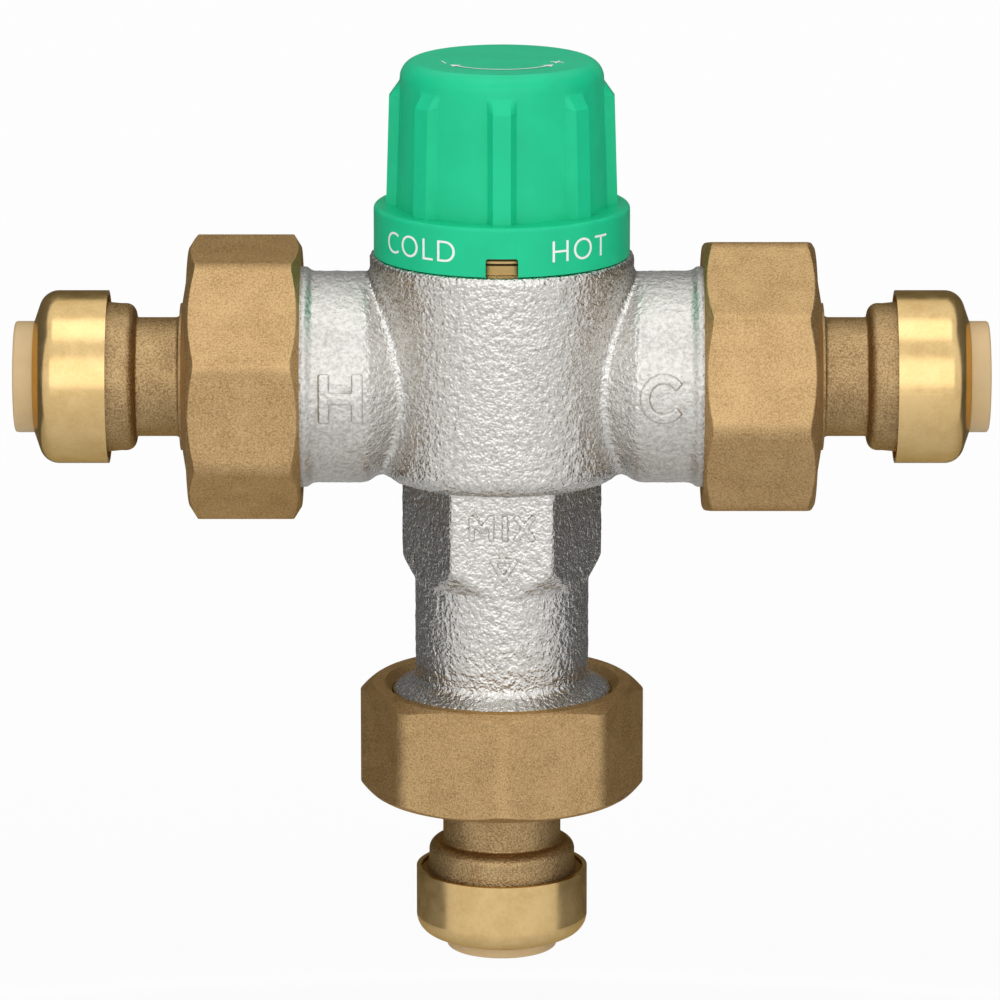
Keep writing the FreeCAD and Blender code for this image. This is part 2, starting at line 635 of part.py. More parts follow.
# ---------------------------------------------------------------- port pieces
def make_port(name, turn, lift, nut_turn, inlet):
    nut = part_body("%s_nut" % name, lift, turn)
    raise_or_cut(nut, "octagon", octagon(nut_af, nut_round), nut_len, out=nut_u0, turn=nut_turn)
    spin(nut, "boss", [
        (0.0, nut_u1 - nut_boss), (nut_boss_r, nut_u1 - nut_boss), (nut_boss_r, nut_u1),
        (hub_r + loose_gap * 2, nut_u1 + nut_boss), (0.0, nut_u1 + nut_boss)])
    wide = nut_af * 0.6
    spin(nut, "front_chamfer", [
        (nut_front_r, nut_u0), (wide, nut_u0 + (wide - nut_front_r) * tan(nut_slope)),
        (wide, nut_u0 - nut_boss), (nut_front_r, nut_u0 - nut_boss)], cut=True)
    spin(nut, "back_chamfer", [
        (nut_back_r, nut_u1), (wide, nut_u1 - (wide - nut_back_r) * tan(nut_slope)),
        (wide, nut_u1 + nut_boss * 2), (nut_back_r, nut_u1 + nut_boss * 2)], cut=True)
    spin(nut, "bore", [
        (0.0, nut_u0), (nut_mouth_r, nut_u0), (male_r + screw_gap, nut_u0 + nut_mouth),
        (male_r + screw_gap, nut_u1 - nut_web), (hub_r + loose_gap, nut_u1 - nut_web),
        (hub_r + loose_gap, nut_u1 + nut_boss), (0.0, nut_u1 + nut_boss)], cut=True)

    tail = part_body("%s_tail" % name, lift, turn)
    spin(tail, "turned", [
        (rim_pocket_r, flange_u0), (flange_r, flange_u0), (flange_r, flange_u1),
        (hub_r, flange_u1), (hub_r, hub_u1), (neck_r, hub_u1, neck_round),
        (neck_r, shoulder_u0, neck_round / 2), (shoulder_r, shoulder_u0, shoulder_round),
        (shoulder_r, shoulder_u1), (shoulder_end_r, seal_u0 + stop_gap),
        (socket_r, seal_u0 + stop_gap), (socket_r, tail_u1), (spacer_pocket_r, tail_u1),
        (spacer_pocket_r, seal_u1), (seal_pocket_r, seal_u1), (seal_pocket_r, seal_u0),
        (guide_r, seal_u0), (guide_r, stop_u), (waterway_r, stop_u),
        (waterway_r, flange_u0 + rim_pocket), (rim_pocket_r, flange_u0 + rim_pocket)])

    sleeve = part_body("%s_sleeve" % name, lift, turn)
    spin(sleeve, "drawn", [
        (socket_r + seat_gap, seal_u0 + stop_gap - sleeve_lap),
        (sleeve_r, seal_u0 + stop_gap - sleeve_lap),
        (sleeve_r, sleeve_u1 - sleeve_dome, sleeve_round),
        (collet_outer_r + turn_gap, sleeve_u1), (collet_outer_r + turn_gap, lip_u0),
        (sleeve_core_r, lip_u0), (sleeve_core_r, sleeve_step_u),
        (socket_r + seat_gap, sleeve_step_u)])

    collet = part_body("%s_collet" % name, lift, turn)
    push = Size(0.0, "0") if inlet else collet_set
    end = sleeve_u1 + collet_proud - push
    spin(collet, "moulded", [
        (collet_inner_r, collet_u0 - push), (collet_outer_r, collet_u0 - push),
        (collet_outer_r, collar_u0 - push), (collet_collar_r, collar_u0 - push),
        (collet_collar_r, collar_u1 - push), (collet_outer_r, collar_u1 - push),
        (collet_outer_r, end, collet_edge), (collet_inner_r, end)])

    grip = part_body("%s_grip_ring" % name, lift, turn)
    spin(grip, "pressed", [
        (ring_bore_r, grip_u0 - grip_lean), (grip_flat_r, grip_u0),
        (spacer_pocket_r - turn_gap, grip_u0), (spacer_pocket_r - turn_gap, grip_u1),
        (grip_flat_r - seat_gap * 2, grip_u1),
        (ring_bore_r, grip_u1 - grip_lean)])
    slot = spin(grip, "slot", box_corners(
        tube_r - grip_lean, grip_flat_r + grip_t, grip_u0 - grip_lean * 2, grip_u1 + grip_t),
        cut=True, angle=grip_slot)
    around(grip, "slots", slot, grip_count)

    seal = part_body("%s_tube_seal" % name, lift, turn)
    a, b = seal_u0 + seat_gap * 2, seal_u1 - seat_gap * 2
    c, d = ring_bore_r, seal_pocket_r - seat_gap
    side = seal_len * 0.29
    spin(seal, "moulded", [
        (c, a + side), (c + side, a), (d - side, a), (d, a + side),
        (d, b - side), (d - side, b), (c + side, b), (c, b - side)])

    spacer = part_body("%s_seal_spacer" % name, lift, turn)
    spin(spacer, "moulded", [
        (guide_r + turn_gap, seal_u1 + seat_gap), (spacer_pocket_r - turn_gap, seal_u1 + seat_gap),
        (spacer_pocket_r - turn_gap, spacer_u1), (grip_flat_r, spacer_u1),
        (guide_r + turn_gap, spacer_u1 - grip_lean - stop_gap)])

    washer = part_body("%s_washer" % name, lift, turn)
    spin(washer, "cut", box_corners(washer_bore_r, washer_r, washer_u0, washer_u1))


collet_inner_r = tube_r + collet_gap
collet_outer_r = collet_inner_r + collet_wall


def make_inlet_inside(name, turn, lift):
    cage = part_body("%s_check_body" % name, lift, turn)
    spin(cage, "moulded", [
        (poppet_stem_r + turn_gap, check_web_u0), (check_core_r, check_web_u0),
        (check_core_r, check_u0), (check_r, check_u0), (check_r, check_u1),
        (check_seat_r, check_u1), (check_seat_r, check_seat_u),
        (check_core_r, check_seat_u), (check_core_r, check_web_u1),
        (poppet_stem_r + turn_gap, check_web_u1)])
    window = spin(cage, "window", box_corners(
        check_guide_r, check_core_r - seat_gap, check_web_u0 - stop_gap,
        check_web_u1 + stop_gap), cut=True, angle=check_window)
    around(cage, "windows", window, check_windows)

    poppet = part_body("%s_check_poppet" % name, lift, turn)
    spin(poppet, "moulded", [
        (0.0, pocket_start + poppet_travel + stop_gap * 3),
        (poppet_stem_r, pocket_start + poppet_travel + stop_gap * 3),
        (poppet_stem_r, poppet_u0), (poppet_r, poppet_u0), (poppet_r, poppet_u1),
        (poppet_nose_r, poppet_u1), (poppet_nose_r, poppet_u1 + poppet_nose),
        (0.0, poppet_u1 + poppet_nose)])

    ring = part_body("%s_check_seal" % name, lift, turn)
    spin(ring, "moulded", box_corners(
        poppet_nose_r + seat_gap, poppet_r, poppet_u1 + seat_gap, poppet_u1 + check_ring_t))

    spring = part_body("%s_check_spring" % name, lift, turn)
    coil(spring, "wound", check_spring_r, check_wire, check_web_u1 + seat_gap * 2,
         poppet_u0 - seat_gap * 2, check_turns)

    strainer = part_body("%s_strainer" % name, lift, turn)
    rim_u0 = flange_u0 + seat_gap * 2
    cup_u1 = rim_u0 + strainer_len
    spin(strainer, "drawn", [
        (strainer_cup_r - strainer_t, rim_u0), (rim_pocket_r - turn_gap, rim_u0),
        (rim_pocket_r - turn_gap, rim_u0 + strainer_rim),
        (strainer_cup_r, rim_u0 + strainer_rim), (strainer_cup_r, cup_u1), (0.0, cup_u1),
        (0.0, cup_u1 - strainer_t), (strainer_cup_r - strainer_t, cup_u1 - strainer_t)])
    slot = spin(strainer, "slot", box_corners(
        strainer_cup_r - strainer_t * 2, strainer_cup_r + strainer_t,
        rim_u0 + strainer_rim + strainer_end, cup_u1 - strainer_t - strainer_end),
        cut=True, angle=strainer_slot)
    around(strainer, "slots", slot, strainer_slots)


# ---------------------------------------------------------------- upright pieces
def make_bonnet():
    body = part_body("bonnet", centre_height)
    low = head_z0 + snap_at
    spin(body, "turned", [
        (0.0, seat_half), (bore_r - screw_gap, seat_half), (bore_r - screw_gap, head_z0),
        (bonnet_r, head_z0), (bonnet_r, low), (bonnet_r - snap_deep, low),
        (bonnet_r - snap_deep, low + snap_h), (bonnet_r, low + snap_h),
        (bonnet_r, head_z1 - bonnet_edge), (bonnet_r - bonnet_edge, head_z1),
        (bonnet_neck_r, head_z1), (bonnet_neck_r, neck_z1), (0.0, neck_z1)])
    raise_or_cut(body, "hexagon_bore", hexagon(pusher_af + turn_gap * 2),
                 key_z1 - seat_half + stop_gap, cut=True, out=key_z1)
    spin(body, "spindle_bore", [
        (0.0, key_z1 - stop_gap), (spindle_collar_r + loose_gap, key_z1 - stop_gap),
        (spindle_collar_r + loose_gap, collar_z1 + seat_gap),
        (spindle_r + turn_gap, collar_z1 + seat_gap),
        (spindle_r + turn_gap, neck_z1 + stop_gap), (0.0, neck_z1 + stop_gap)], cut=True)
    half = key_w / 2 + key_gap
    slot = raise_or_cut(body, "key_slot", box_corners(
        bonnet_r - key_deep - key_gap, bonnet_r + key_deep, -half, half),
        bonnet_h + stop_gap * 2, cut=True, out=head_z1 + stop_gap, turn=key_turn)
    around(body, "key_slots", slot, key_count)

    ring = part_body("bonnet_seal", centre_height)
    z0, z1 = barrel_top - seal_step_h + seat_gap * 2, barrel_top - seat_gap
    r0, r1 = bore_r + seat_gap, seal_step_r - seat_gap
    side = (r1 - r0) * 0.29
    spin(ring, "moulded", [
        (r0, z0 + side), (r0 + side, z0), (r1 - side, z0), (r1, z0 + side),
        (r1, z1 - side), (r1 - side, z1), (r0 + side, z1), (r0, z1 - side)])


key_turn = sized("key_turn", 45.0, "degrees, first key from the cold side")


def make_spindle():
    body = part_body("spindle", centre_height)
    spin(body, "turned", [
        (0.0, screw_z0), (spindle_screw_r, screw_z0), (spindle_screw_r, collar_z0),
        (spindle_collar_r, collar_z0), (spindle_collar_r, collar_z1), (spindle_r, collar_z1),
        (spindle_r, groove_z0), (spindle_r - ring_groove_deep, groove_z0),
        (spindle_r - ring_groove_deep, groove_z1), (spindle_r, groove_z1),
        (spindle_r, clip_z0), (spindle_r - clip_deep, clip_z0),
        (spindle_r - clip_deep, clip_z1), (spindle_shank_r, clip_z1),
        (spindle_shank_r, spline_z1 - stop_gap), (0.0, spline_z1 - stop_gap)])
    raise_or_cut(body, "splines", star(spindle_r, spline_root_r, spline_count), spindle_head,
                 out=spline_z0)

    ring = part_body("spindle_seal", centre_height)
    z0, z1 = groove_z0 + seat_gap * 2, groove_z1 - seat_gap * 2
    r0, r1 = spindle_r - ring_groove_deep + seat_gap, spindle_r + turn_gap - seat_gap
    side = (r1 - r0) * 0.29
    spin(ring, "moulded", [
        (r0, z0 + side), (r0 + side, z0), (r1 - side, z0), (r1, z0 + side),
        (r1, z1 - side), (r1 - side, z1), (r0 + side, z1), (r0, z1 - side)])

    clip = part_body("spindle_clip", centre_height)
    spin(clip, "stamped", box_corners(
        spindle_r - clip_deep + seat_gap, clip_r, clip_z0 + seat_gap, clip_z1 - seat_gap))
    spin(clip, "opening", box_corners(
        spline_root_r - clip_t * 2, clip_r + clip_t, clip_z0 - clip_t, clip_z1 + clip_t), cut=True,
        angle=clip_slot)


def make_adjuster():
    body = part_body("pusher", centre_height)
    raise_or_cut(body, "hexagon", hexagon(pusher_af), pusher_len, out=pusher_z0)
    spin(body, "bore", [
        (0.0, pusher_z0 - stop_gap), (pusher_lip_r, pusher_z0 - stop_gap),
        (pusher_lip_r, pusher_z0 + pusher_lip), (pusher_core_r, pusher_z0 + pusher_lip),
        (pusher_core_r, core_z1), (spindle_screw_r + screw_gap, core_z1),
        (spindle_screw_r + screw_gap, pusher_z1 + stop_gap), (0.0, pusher_z1 + stop_gap)],
        cut=True)

    cup = part_body("overload_cup", centre_height)
    spin(cup, "turned", [
        (0.0, rod_z1 + seat_gap), (rod_hole_r, rod_z1 + seat_gap), (rod_hole_r, cup_z0),
        (pusher_core_r - turn_gap * 2, cup_z0), (pusher_core_r - turn_gap * 2, cup_z1),
        (cup_core_r, cup_z1), (cup_core_r, cup_z1 + cup_core), (0.0, cup_z1 + cup_core)])

    spring = part_body("overload_spring", centre_height)
    coil(spring, "wound", pusher_core_r - turn_gap * 2 - overload_wire / 2 - seat_gap,
         overload_wire, cup_z1 + seat_gap * 2, core_z1 - seat_gap * 2, overload_turns)

    rod = part_body("push_rod", centre_height)
    spin(rod, "ground", box_corners(0.0, rod_r, rod_z0, rod_z1))

    element = part_body("wax_element", centre_height)
    low = element_z0 - capsule_len
    spin(element, "turned", [
        (0.0, low), (capsule_r - capsule_tip, low), (capsule_r, low + capsule_tip),
        (capsule_r, element_z0), (capsule_collar_r, element_z0),
        (capsule_collar_r, element_z1), (capsule_neck_r, element_z1),
        (capsule_neck_r, element_z1 + capsule_neck), (rod_hole_r, element_z1 + capsule_neck),
        (rod_hole_r, element_hole_z), (0.0, element_hole_z)])


def make_piston():
    body = part_body("piston", centre_height)
    spin(body, "moulded", [
        (capsule_r + turn_gap, web_z0), (piston_core_r, web_z0), (piston_core_r, -piston_half),
        (piston_r, -piston_half), (piston_r, -piston_ring_half),
        (piston_r - piston_ring_deep, -piston_ring_half),
        (piston_r - piston_ring_deep, piston_ring_half), (piston_r, piston_ring_half),
        (piston_r, piston_half), (piston_core_r, piston_half), (piston_core_r, web_z1),
        (capsule_r + turn_gap, web_z1)])
    window = spin(body, "window", box_corners(
        capsule_r + turn_gap + piston_hub, piston_core_r - seat_gap, web_z0 - stop_gap,
        web_z1 + stop_gap), cut=True, angle=piston_window)
    around(body, "windows", window, piston_windows)

    ring = part_body("piston_seal", centre_height)
    z0, z1 = -(piston_ring_half - seat_gap * 2), piston_ring_half - seat_gap * 2
    r0, r1 = piston_r - piston_ring_deep + seat_gap, bore_r - seat_gap
    side = (r1 - r0) * 0.29
    spin(ring, "moulded", [
        (r0, z0 + side), (r0 + side, z0), (r1 - side, z0), (r1, z0 + side),
        (r1, z1 - side), (r1 - side, z1), (r0 + side, z1), (r0, z1 - side)])

    spring = part_body("return_spring", centre_height)
    coil(spring, "wound", spring_r, spring_wire, seat_gap * 2 - chamber_drop,
         web_z0 - seat_gap * 2, spring_turns)


def make_cap():
    body = part_body("cap", centre_height)
    spin(body, "shell", [
        (0.0, cap_z1), (cap_r_top, cap_z1, cap_round), (cap_r_low, skirt_z1),
        (skirt_r, skirt_z1, skirt_edge), (skirt_r, skirt_z0), (skirt_core_r, skirt_z0),
        (skirt_core_r, skirt_core_z), (cap_r_low - cap_wall, skirt_core_z),
        (cap_r_top - cap_wall, roof_z), (socket_core_r + socket_wall, roof_z),
        (socket_core_r + socket_wall, socket_z0), (0.0, socket_z0)])
    # grip ribs: full height, then sloped into the wall
    sections = []
    for number, (height, wall, over) in enumerate((
            (skirt_z1 - skirt_edge, cap_r_low, rib_low),
            (skirt_z1 + rib_h, cap_r_low - (cap_r_low - cap_r_top) * rib_h / cap_h, rib_high),
            (skirt_z1 + rib_h + rib_end,
             cap_r_low - (cap_r_low - cap_r_top) * (rib_h + rib_end) / cap_h, rib_sink * 0))):
        foot, crest = rib_base / 2, rib_crest / 2
        sections.append(draw(sketch_on(body, "rib_section_%d" % number, "XY_Plane", height), [
            (wall - rib_sink, -foot), (wall - rib_sink / 4, -foot), (wall + over, -crest),
            (wall + over, crest), (wall - rib_sink / 4, foot), (wall - rib_sink, foot)]))
    rib = body.newObject("PartDesign::AdditiveLoft", "rib")
    rib.Profile = sections[0]
    rib.Sections = sections[1:]
    rib.Ruled = True
    body.Tip = rib
    doc.recompute()
    around(body, "ribs", rib, rib_count)

    half = key_w / 2
    key = raise_or_cut(body, "key", box_corners(
        bonnet_r - key_deep, skirt_core_r + skirt_edge, -half, half),
        skirt_core_z - skirt_z0 - stop_gap, out=skirt_z0 + stop_gap * 2, turn=key_turn)
    around(body, "keys", key, key_count)
    low = head_z0 + snap_at + seat_gap * 2
    spin(body, "bead", [
        (skirt_core_r + skirt_gap / 2, low), (bonnet_r + turn_gap, low + snap_h * 0.3),
        (bonnet_r + turn_gap, low + snap_h * 0.6), (skirt_core_r + skirt_gap / 2, low + snap_h)])
    raise_or_cut(body, "pry_notch", box_corners(
        -(notch_w / 2), notch_w / 2, skirt_z0 - notch_h, skirt_z0 + notch_h, notch_round),
        skirt_r - bonnet_r + skirt_gap, cut=True, role="XZ_Plane", out=skirt_r + skirt_gap / 2)
    spin(body, "socket_core", box_corners(0.0, socket_core_r, socket_z1, roof_z), cut=True)
    raise_or_cut(body, "socket_splines",
                 star(spindle_r + spline_gap, spline_root_r + spline_gap, spline_count),
                 socket_ring + stop_gap * 2, cut=True, out=socket_z1 + stop_gap)


make_valve_body()
for port, turning, rise, resting, is_inlet in (
        ("hot", TO_HOT, centre_height, nut_turn_hot, True),
        ("cold", TO_COLD, centre_height, nut_turn_cold, True),
        ("outlet", TO_OUTLET, stop_u, nut_turn_out, False)):
    make_port(port, turning, rise, resting, is_inlet)
    if is_inlet:
        make_inlet_inside(port, turning, rise)
make_bonnet()
make_spindle()
make_adjuster()
make_piston()
make_cap()
doc.recompute()

# ---------------------------------------------------------------- test and write
for thing in doc.Objects:
    if "Invalid" in thing.State or "Error" in thing.State:
        raise RuntimeError("%s did not build: %s" % (thing.Label, thing.State))
os.makedirs("parts", exist_ok=True)
for body in bodies:
    shape = body.Shape
    if shape.isNull() or not shape.isValid() or len(shape.Solids) != 1:
        raise RuntimeError("%s is not one sound solid" % body.Name)
    shape.exportStep("parts/%s.step" % body.Name)
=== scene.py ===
"""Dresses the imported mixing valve: rough plated casting, brass unions, green cap, studio."""
from __future__ import annotations

import json
import logging
import math
from collections.abc import Iterable
from dataclasses import dataclass, field
from enum import Enum

import bmesh
import bpy
from mathutils import Matrix, Vector, noise

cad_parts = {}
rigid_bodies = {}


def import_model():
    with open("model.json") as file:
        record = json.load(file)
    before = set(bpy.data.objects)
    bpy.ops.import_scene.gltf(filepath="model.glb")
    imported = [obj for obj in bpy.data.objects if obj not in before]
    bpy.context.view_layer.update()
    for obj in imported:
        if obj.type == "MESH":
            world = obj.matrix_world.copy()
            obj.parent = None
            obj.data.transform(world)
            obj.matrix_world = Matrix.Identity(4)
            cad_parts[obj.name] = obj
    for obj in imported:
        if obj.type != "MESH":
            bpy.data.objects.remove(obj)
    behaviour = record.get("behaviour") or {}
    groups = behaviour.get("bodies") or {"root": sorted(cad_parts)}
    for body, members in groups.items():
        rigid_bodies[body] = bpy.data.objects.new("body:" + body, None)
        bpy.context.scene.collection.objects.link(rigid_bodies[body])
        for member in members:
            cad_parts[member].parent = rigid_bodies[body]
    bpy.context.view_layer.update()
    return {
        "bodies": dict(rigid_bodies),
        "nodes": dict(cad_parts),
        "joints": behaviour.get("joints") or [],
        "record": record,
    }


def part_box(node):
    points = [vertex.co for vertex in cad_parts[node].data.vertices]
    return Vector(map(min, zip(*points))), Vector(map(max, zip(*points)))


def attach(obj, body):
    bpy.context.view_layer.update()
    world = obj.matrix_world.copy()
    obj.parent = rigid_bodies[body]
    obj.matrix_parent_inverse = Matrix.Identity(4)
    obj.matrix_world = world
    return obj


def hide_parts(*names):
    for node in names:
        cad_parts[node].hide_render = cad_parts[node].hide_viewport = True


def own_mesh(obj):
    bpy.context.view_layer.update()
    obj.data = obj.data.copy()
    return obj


MM = 0.001
WELD = 2e-6
BONNET_FOOT = 20.6 * MM
LOG = logging.getLogger("mixing_valve")


class Port(Enum):
    """The three ports, each with the prefix of its nodes."""

    HOT = "hot"
    COLD = "cold"
    OUTLET = "outlet"

    @property
    def prefix(self) -> str:
        """The prefix of the port's nodes."""
        return self.value


# ---------------------------------------------------------------- finishes
class Recipe:
    """A material under construction, with short calls for the nodes that the finishes use."""

    def __init__(self, name: str) -> None:
        """Start an empty material with a shader and an output.

        Args:
            name: The material's name.
        """
        self.material = bpy.data.materials.new(name)
        self.material.use_nodes = True
        self.tree = self.material.node_tree
        self.tree.nodes.clear()
        self.shader = self.tree.nodes.new("ShaderNodeBsdfPrincipled")
        output = self.tree.nodes.new("ShaderNodeOutputMaterial")
        self.tree.links.new(self.shader.outputs[0], output.inputs[0])
        self.place = self.tree.nodes.new("ShaderNodeTexCoord").outputs["Object"]

    def set(self, **values: object) -> None:
        """Set shader sockets; a name's underscores stand for spaces.

        Args:
            **values: Socket names and their plain values.
        """
        for name, value in values.items():
            self.shader.inputs[name.replace("_", " ")].default_value = value

    def link(self, output: bpy.types.NodeSocket, socket: str) -> None:
        """Join an output to a shader socket.

        Args:
            output: The socket that gives the value.
            socket: The shader socket's name.
        """
        self.tree.links.new(output, self.shader.inputs[socket])

    def noise(self, size_mm: float, detail: float = 3.0, rough: float = 0.55,
              stretch: tuple[float, float, float] = (1, 1, 1)) -> bpy.types.NodeSocket:
        """A noise pattern with features of about the given size.

        Args:
            size_mm: The features' size in millimetres.
            detail: Octaves.
            rough: Weight of the finer octaves.
            stretch: Factors on the three axes, above 1 for finer.

        Returns:
            The pattern's value, about 0 to 1.
        """
        mapping = self.tree.nodes.new("ShaderNodeMapping")
        mapping.inputs["Scale"].default_value = stretch
        self.tree.links.new(self.place, mapping.inputs["Vector"])
        node = self.tree.nodes.new("ShaderNodeTexNoise")
        node.inputs["Scale"].default_value = 1.0 / (size_mm * MM)
        node.inputs["Detail"].default_value = detail
        node.inputs["Roughness"].default_value = rough
        self.tree.links.new(mapping.outputs[0], node.inputs["Vector"])
        return node.outputs["Fac"]

    def ramp(self, value: bpy.types.NodeSocket,
             stops: tuple[tuple[float, object], ...]) -> bpy.types.NodeSocket:
        """Turn a value into a colour or a grey.

        Args:
            value: The value to look up.
            stops: Pairs of a position and a grey number or a colour of three numbers. The
                first two set the ramp's own stops, and the rest are added to them.

        Returns:
            The ramp's colour.
        """
        node = self.tree.nodes.new("ShaderNodeValToRGB")
        for index, (at, shade) in enumerate(stops):
            stop = (node.color_ramp.elements[index] if index < 2
                    else node.color_ramp.elements.new(at))
            stop.position = at
            stop.color = ((shade,) * 3 if isinstance(shade, (int, float)) else tuple(shade)) + (1,)
        self.tree.links.new(value, node.inputs[0])
        return node.outputs[0]

    def math(self, kind: str, one: object, two: object = 0.0) -> bpy.types.NodeSocket:
        """Join two values by a sum of arithmetic.

        Args:
            kind: The operation.
            one: The first value or socket.
            two: The second value or socket.

        Returns:
            The result.
        """
        node = self.tree.nodes.new("ShaderNodeMath")
        node.operation = kind
        for index, value in enumerate((one, two)):
            if isinstance(value, (int, float)):
                node.inputs[index].default_value = value
            else:
                self.tree.links.new(value, node.inputs[index])
        return node.outputs[0]

    def span(self, axis: int, start: float, end: float,
             low: float = 0.0, high: float = 1.0) -> bpy.types.NodeSocket:
        """A value that changes along an axis, the same on both sides of the middle.

        Args:
            axis: 0, 1 or 2 for X, Y or Z.
            start: Distance in metres where the change starts.
            end: Distance in metres where it ends.
            low: Value up to the start.
            high: Value from the end.

        Returns:
            The value.
        """
        split = self.tree.nodes.new("ShaderNodeSeparateXYZ")
        self.tree.links.new(self.place, split.inputs[0])
        node = self.tree.nodes.new("ShaderNodeMapRange")
        self.tree.links.new(self.math("ABSOLUTE", split.outputs[axis]), node.inputs["Value"])
        for name, value in (("From Min", start), ("From Max", end),
                            ("To Min", low), ("To Max", high)):
            node.inputs[name].default_value = value
        return node.outputs[0]

    def bump(self, heights: tuple[tuple[bpy.types.NodeSocket, float], ...]) -> None:
        """Chain bumps, each with its depth in millimetres.

        Args:
            heights: Pairs of a pattern and its depth.
        """
        last = None
        for height, depth in heights:
            node = self.tree.nodes.new("ShaderNodeBump")
            node.inputs["Strength"].default_value = 1.0
            node.inputs["Distance"].default_value = depth * MM
            self.tree.links.new(height, node.inputs["Height"])
            if last is not None:
                self.tree.links.new(last, node.inputs["Normal"])
            last = node.outputs[0]
        self.link(last, "Normal")


@dataclass(frozen=True)
class Metal:
    """A metal with a grainy or brushed skin."""

    name: str
    dark: tuple[float, float, float]
    light: tuple[float, float, float]
    rough: tuple[float, float] = (0.3, 0.45)
    grain_mm: float = 0.35
    grain_deep: float = 0.02
    blotch_mm: float = 6.0
    speck: float = 0.0
    grainy: float = 0.75
    rim: tuple[float, float, float] = (1.0, 1.0, 1.0)

    def make(self) -> bpy.types.Material:
        """Build the material.

        Returns:
            The material.
        """
        recipe = Recipe(self.name)
        recipe.set(Metallic=1.0, Specular_Tint=self.rim + (1.0,))
        blotch = recipe.noise(self.blotch_mm, 4.0)
        grain = recipe.noise(self.grain_mm, 1.0, 0.6)
        mixed = recipe.math("ADD", recipe.math("MULTIPLY", blotch, 1 - self.grainy),
                            recipe.math("MULTIPLY", grain, self.grainy))
        stops = ((0.36, self.dark), (0.62, self.light))
        if self.speck:
            deep = tuple(c * (1 - self.speck) for c in self.dark)
            stops = ((0.30, deep), (0.62, self.light), (0.41, self.dark))
        recipe.link(recipe.ramp(mixed, stops), "Base Color")
        recipe.link(recipe.ramp(grain, ((0.3, self.rough[0]), (0.7, self.rough[1]))), "Roughness")
        recipe.bump(((grain, self.grain_deep),))
        return recipe.material


@dataclass(frozen=True)
class Drawn:
    """Bright drawn brass with a faint cloud and flecks."""

    name: str = "polished brass"
    dark: tuple[float, float, float] = (0.66, 0.45, 0.19)
    light: tuple[float, float, float] = (0.76, 0.54, 0.25)
    rim: tuple[float, float, float] = (0.85, 0.70, 0.45)
    cloud_mm: float = 4.0
    fleck_mm: float = 0.5
    wave_mm: float = 3.0

    def make(self) -> bpy.types.Material:
        """Build the material.

        Returns:
            The material.
        """
        recipe = Recipe(self.name)
        recipe.set(Metallic=1.0, Specular_Tint=self.rim + (1.0,))
        cloud = recipe.noise(self.cloud_mm, 3.0, 0.6)
        fleck = recipe.noise(self.fleck_mm, 3.0, 0.7)
        tone = recipe.math("ADD", recipe.math("MULTIPLY", cloud, 0.7),
                           recipe.math("MULTIPLY", fleck, 0.3))
        recipe.link(recipe.ramp(tone, ((0.36, self.dark), (0.60, self.light))), "Base Color")
        recipe.link(recipe.ramp(cloud, ((0.35, 0.20), (0.65, 0.27))), "Roughness")
        wave = recipe.noise(self.wave_mm, 1.0)
        recipe.bump(((wave, 0.006), (fleck, 0.002)))
        return recipe.material


@dataclass(frozen=True)
class GroovedRingPaintedShade:
    """The bonnet's turned rim, with the groove for the cap's snap beads, whose colour carries
    painted shade and a painted highlight.
    """

    foot: float
    name: str = "grooved brass"
    brass: tuple[float, float, float] = (0.46, 0.31, 0.12)
    # Painted shade: the near-black colour of the groove and of a band above it, where the cap's
    # notch top casts its shadow.
    shade: tuple[float, float, float] = (0.07, 0.045, 0.02)
    # Painted highlight: a thin bright line along the groove's upper edge.
    painted_highlight: tuple[float, float, float] = (0.72, 0.55, 0.26)
    tall: float = 5.4 * MM

    def make(self) -> bpy.types.Material:
        """Build the material.

        Returns:
            The material.
        """
        recipe = Recipe(self.name)
        recipe.set(Metallic=1.0)
        grain = recipe.noise(0.3, 2.0, 0.6, (1, 1, 6))
        up = recipe.span(2, self.foot, self.foot + self.tall)
        wavy = recipe.math("ADD", up, recipe.math("MULTIPLY", grain, 0.01))
        # Colour up the rim: brass, painted shade in the groove, a painted highlight line, brass,
        # then a band of painted shade where the bump sinks under the cap's notch top, standing for
        # the cap's shadow, then brass.
        recipe.link(recipe.ramp(wavy, (
            (0.0, self.brass), (0.66, self.brass), (0.29, self.brass), (0.31, self.shade),
            (0.36, self.shade), (0.38, self.painted_highlight), (0.42, self.brass), (0.46, self.shade),
            (0.60, self.shade))), "Base Color")
        recipe.link(recipe.ramp(grain, ((0.3, 0.22), (0.7, 0.36))), "Roughness")
        step = recipe.ramp(up, ((0.0, 1.0), (0.62, 1.0), (0.30, 1.0), (0.32, 0.0),
                                (0.35, 0.0), (0.37, 1.0), (0.45, 1.0), (0.47, 0.0),
                                (0.60, 0.0)))
        recipe.bump(((step, 0.15), (grain, 0.006)))
        return recipe.material


